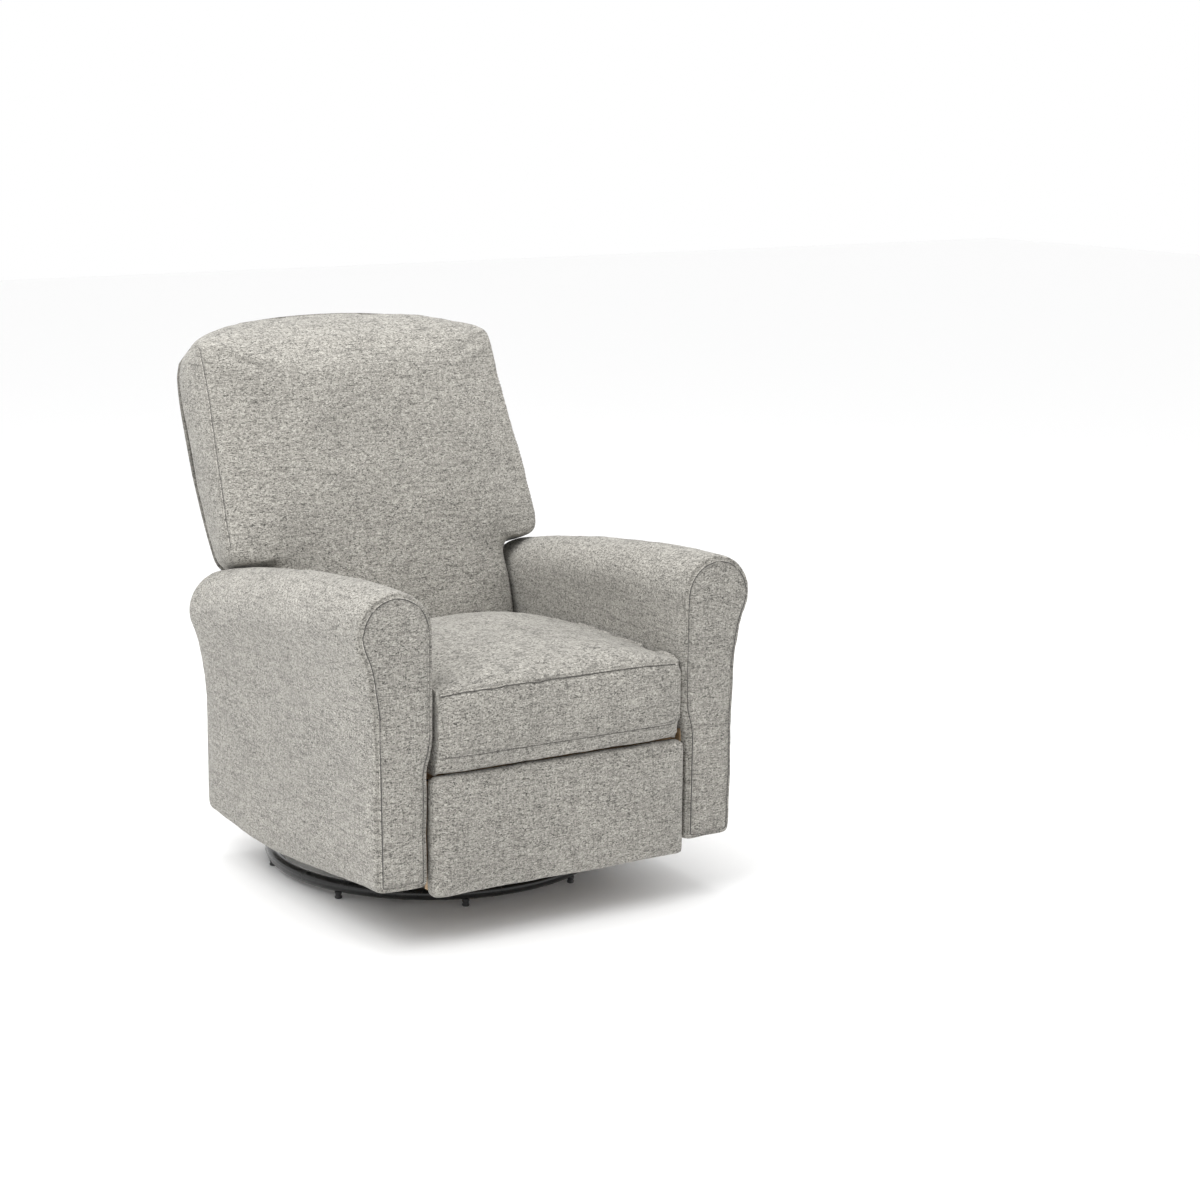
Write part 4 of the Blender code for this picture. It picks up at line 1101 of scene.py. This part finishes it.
def rear_outline():
    """(x, u) outline of the outside back, where the rear welt runs."""
    right = [(0.0, 0.046), (0.246, 0.046), (0.2555, 0.056), (0.2562, WING_U - 0.016)]
    right += [(0.2572, WING_U - 0.006), (0.261, WING_U), (0.268, WING_U + 0.0035), (0.280, WING_U + 0.0045)]
    heights = np.concatenate([
        WING_U + WING_TURN * np.array([0.18, 0.3, 0.5, 0.75, 1.0]), np.linspace(0.345, 0.730, 16),
        [0.741, 0.752, 0.761, 0.770, 0.779, 0.788, 0.796],
    ])
    right += [(back_size(float(u))[1], u) for u in heights]
    right += [(0.195, 0.8030), (0.150, 0.8095), (0.10, 0.8140), (0.05, 0.8163), (0.0, 0.8170)]
    right = np.array(right)
    return resample(np.vstack([right, right[::-1][1:-1] * [-1, 1]]), 420)


def make_outside_back():
    """Cloth stretched over the rear of the back, edged by a welt."""
    front_v, welt_v, welt_radius = 0.0163, 0.0152, 0.0036
    outline = rear_outline()
    profile = [       # v, and how far the ring is drawn in there
        (0.0164, 0.006), (0.0172, 0.0030), (0.0190, 0.0022), (0.0215, 0.0028), (0.0232, 0.0062),
        (0.0238, 0.0130),
    ]
    rings = []
    for v, drawn in profile:
        ring = inset(outline, drawn)
        rings.append(back_place(np.column_stack([ring[:, 0], ring[:, 1], np.full(len(ring), v)])))
    panel = loft("outside_back", rings, "back")
    fabric_mesh(panel, 0.0055, 1)
    x, u, v = back_frame(read_points(panel))
    depth = outline_distance(np.column_stack([x, u]), outline)
    held = np.maximum(smooth_step((0.0205 - v) / 0.002), smooth_step((0.014 - depth) / 0.010))
    puff(panel, np.clip(held, 0, 1), pressure=2.5, most=0.005)
    subdivide(panel)
    ripple(panel, 51, 0.0009)
    x, u, v = back_frame(read_points(panel))
    write_points(panel, back_place(np.column_stack([x, u, np.maximum(v, front_v)])))
    settle_in(panel, FABRIC, ["back_panel"])

    ring = resample(inset(outline, -0.0006), 900)
    path = back_place(np.column_stack([ring[:, 0], ring[:, 1], np.full(len(ring), welt_v)]))
    # the welt is the back's own cloth, darkened as painted shade
    cord("back_rear_welt", path, welt_radius, "back", SHADED_WELT_FABRIC, closed=True)


# ---------------------------------------------------------------- footrest and rear panel
def slab(name, low, high, body, replaced, seed, faces_front, corner, edge, crown, most):
    """A stuffed flat pad standing across the chair.

    It is rounded in plan by `corner` and over its face by `edge`, and its outer face is crowned.
    """
    (x_low, y_low, z_low), (x_high, y_high, z_high) = low, high
    thick, rear_edge = y_high - y_low, 0.004
    outward_y = -1 if faces_front else 1
    centres = [
        (x_low + corner, z_low + corner), (x_high - corner, z_low + corner),
        (x_high - corner, z_high - corner), (x_low + corner, z_high - corner),
    ]
    turns = [arc(spot, corner, start, start + 90, 7) for spot, start in zip(centres, (180, 270, 0, 90))]
    outline = resample(np.vstack(turns), 300)

    def from_face(points):
        return points[:, 1] - y_low if faces_front else y_high - points[:, 1]

    rings = []
    for t in np.linspace(0, 1, 13):
        share = t if faces_front else 1 - t
        turn = max(0.0, 1 - share * thick / edge)
        behind = max(0.0, 1 - (1 - share) * thick / rear_edge)
        drawn = edge * (1 - math.sqrt(max(0.0, 1 - turn**2)))
        drawn += rear_edge * (1 - math.sqrt(max(0.0, 1 - behind**2)))
        rings.append(standing(inset(outline, drawn), y_low + thick * t))
    pad = loft(name, rings, body)
    fabric_mesh(pad, VOXEL, 2)

    points = read_points(pad)
    depth = outline_distance(points[:, [0, 2]], outline)
    rear_half = smooth_step((from_face(points) - 0.4 * thick) / (0.3 * thick))
    held = np.clip(np.maximum(rear_half, smooth_step((0.008 - depth) / 0.006)), 0, 1)
    puff(pad, held, pressure=4.0, most=most)
    subdivide(pad)

    points = read_points(pad)
    depth = outline_distance(points[:, [0, 2]], outline)
    near_face = smooth_step(1 - from_face(points) / (0.7 * thick))
    rise = crown * near_face * (1 - np.exp(-np.clip(depth, 0, None) / 0.035))
    points[:, 1] += outward_y * rise
    write_points(pad, points)
    ripple(pad, seed, 0.0010)
    settle_in(pad, FABRIC, replaced)


def make_footrest_pad():
    low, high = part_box("footrest_pad")
    low, high = (low[0] + 0.001, low[1] + 0.0065, low[2]), (high[0] - 0.001, high[1], high[2] + 0.006)
    slab(
        "footrest_cushion", low, high, "footrest", ["footrest_pad"], 61, True,
        corner=0.005, edge=0.012, crown=0.0040, most=0.006,
    )


def make_rear_panel():
    low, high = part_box("rear_panel")
    slab(
        "rear_apron", low, (high[0], high[1] - 0.002, high[2]), "seat_body", ["rear_panel"], 71, False,
        corner=0.008, edge=0.008, crown=0.002, most=0.004,
    )


# ---------------------------------------------------------------- base
def make_ring():
    """The round tube floor ring, with its weld bead."""
    low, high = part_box("floor_ring")
    tube_radius = (high[2] - low[2]) / 2
    radius, height = (high[0] - low[0]) / 2 - tube_radius, (high[2] + low[2]) / 2
    around, across = 192, 28
    weld_at, bead_height, bead_length = 2.2, 0.0007, 0.0025
    points = []
    for i in range(around):
        a = 2 * math.pi * i / around
        thick = tube_radius + bead_height * math.exp(-(((a - weld_at) * radius / bead_length) ** 2))
        for k in range(across):
            b = 2 * math.pi * k / across
            out = radius + thick * math.cos(b)
            points.append((out * math.cos(a), out * math.sin(a), height + thick * math.sin(b)))
    faces = [face[::-1] for face in ring_faces(around, across, closed=True)]
    ring = object_from("ring_tube", points, faces, "floor_base", "black_steel")
    settle_in(ring, HARDWARE["black_steel"], ["floor_ring"])


def make_feet():
    """Turned glide pegs under the ring."""
    profile = [       # radius and height from the floor
        (0.0030, 0.0), (0.0060, 0.0002), (0.0068, 0.0010), (0.0070, 0.0030), (0.0067, 0.0045),
        (0.0056, 0.0055), (0.0056, 0.0080), (0.0064, 0.0090), (0.0070, 0.0110), (0.0070, 0.0132),
        (0.0050, 0.0150),
    ]
    turns = np.linspace(0, 2 * math.pi, 28, endpoint=False)
    for number in range(1, 9):
        low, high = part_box(f"ring_foot_{number}")
        x, y = (low[0] + high[0]) / 2, (low[1] + high[1]) / 2
        rings = [
            np.column_stack([x + r * np.cos(turns), y + r * np.sin(turns), np.full(len(turns), low[2] + z)])
            for r, z in profile
        ]
        peg = loft(f"peg_foot_{number}", rings, "floor_base", "black_plastic")
        settle_in(peg, HARDWARE["black_plastic"], [f"ring_foot_{number}"])


finish_frame()
make_arm("left", 1.0, 101)
make_arm("right", -1.0, 202)
make_seat()
make_back()
make_outside_back()
make_footrest_pad()
make_rear_panel()
make_ring()
make_feet()
make_camera()
make_studio()
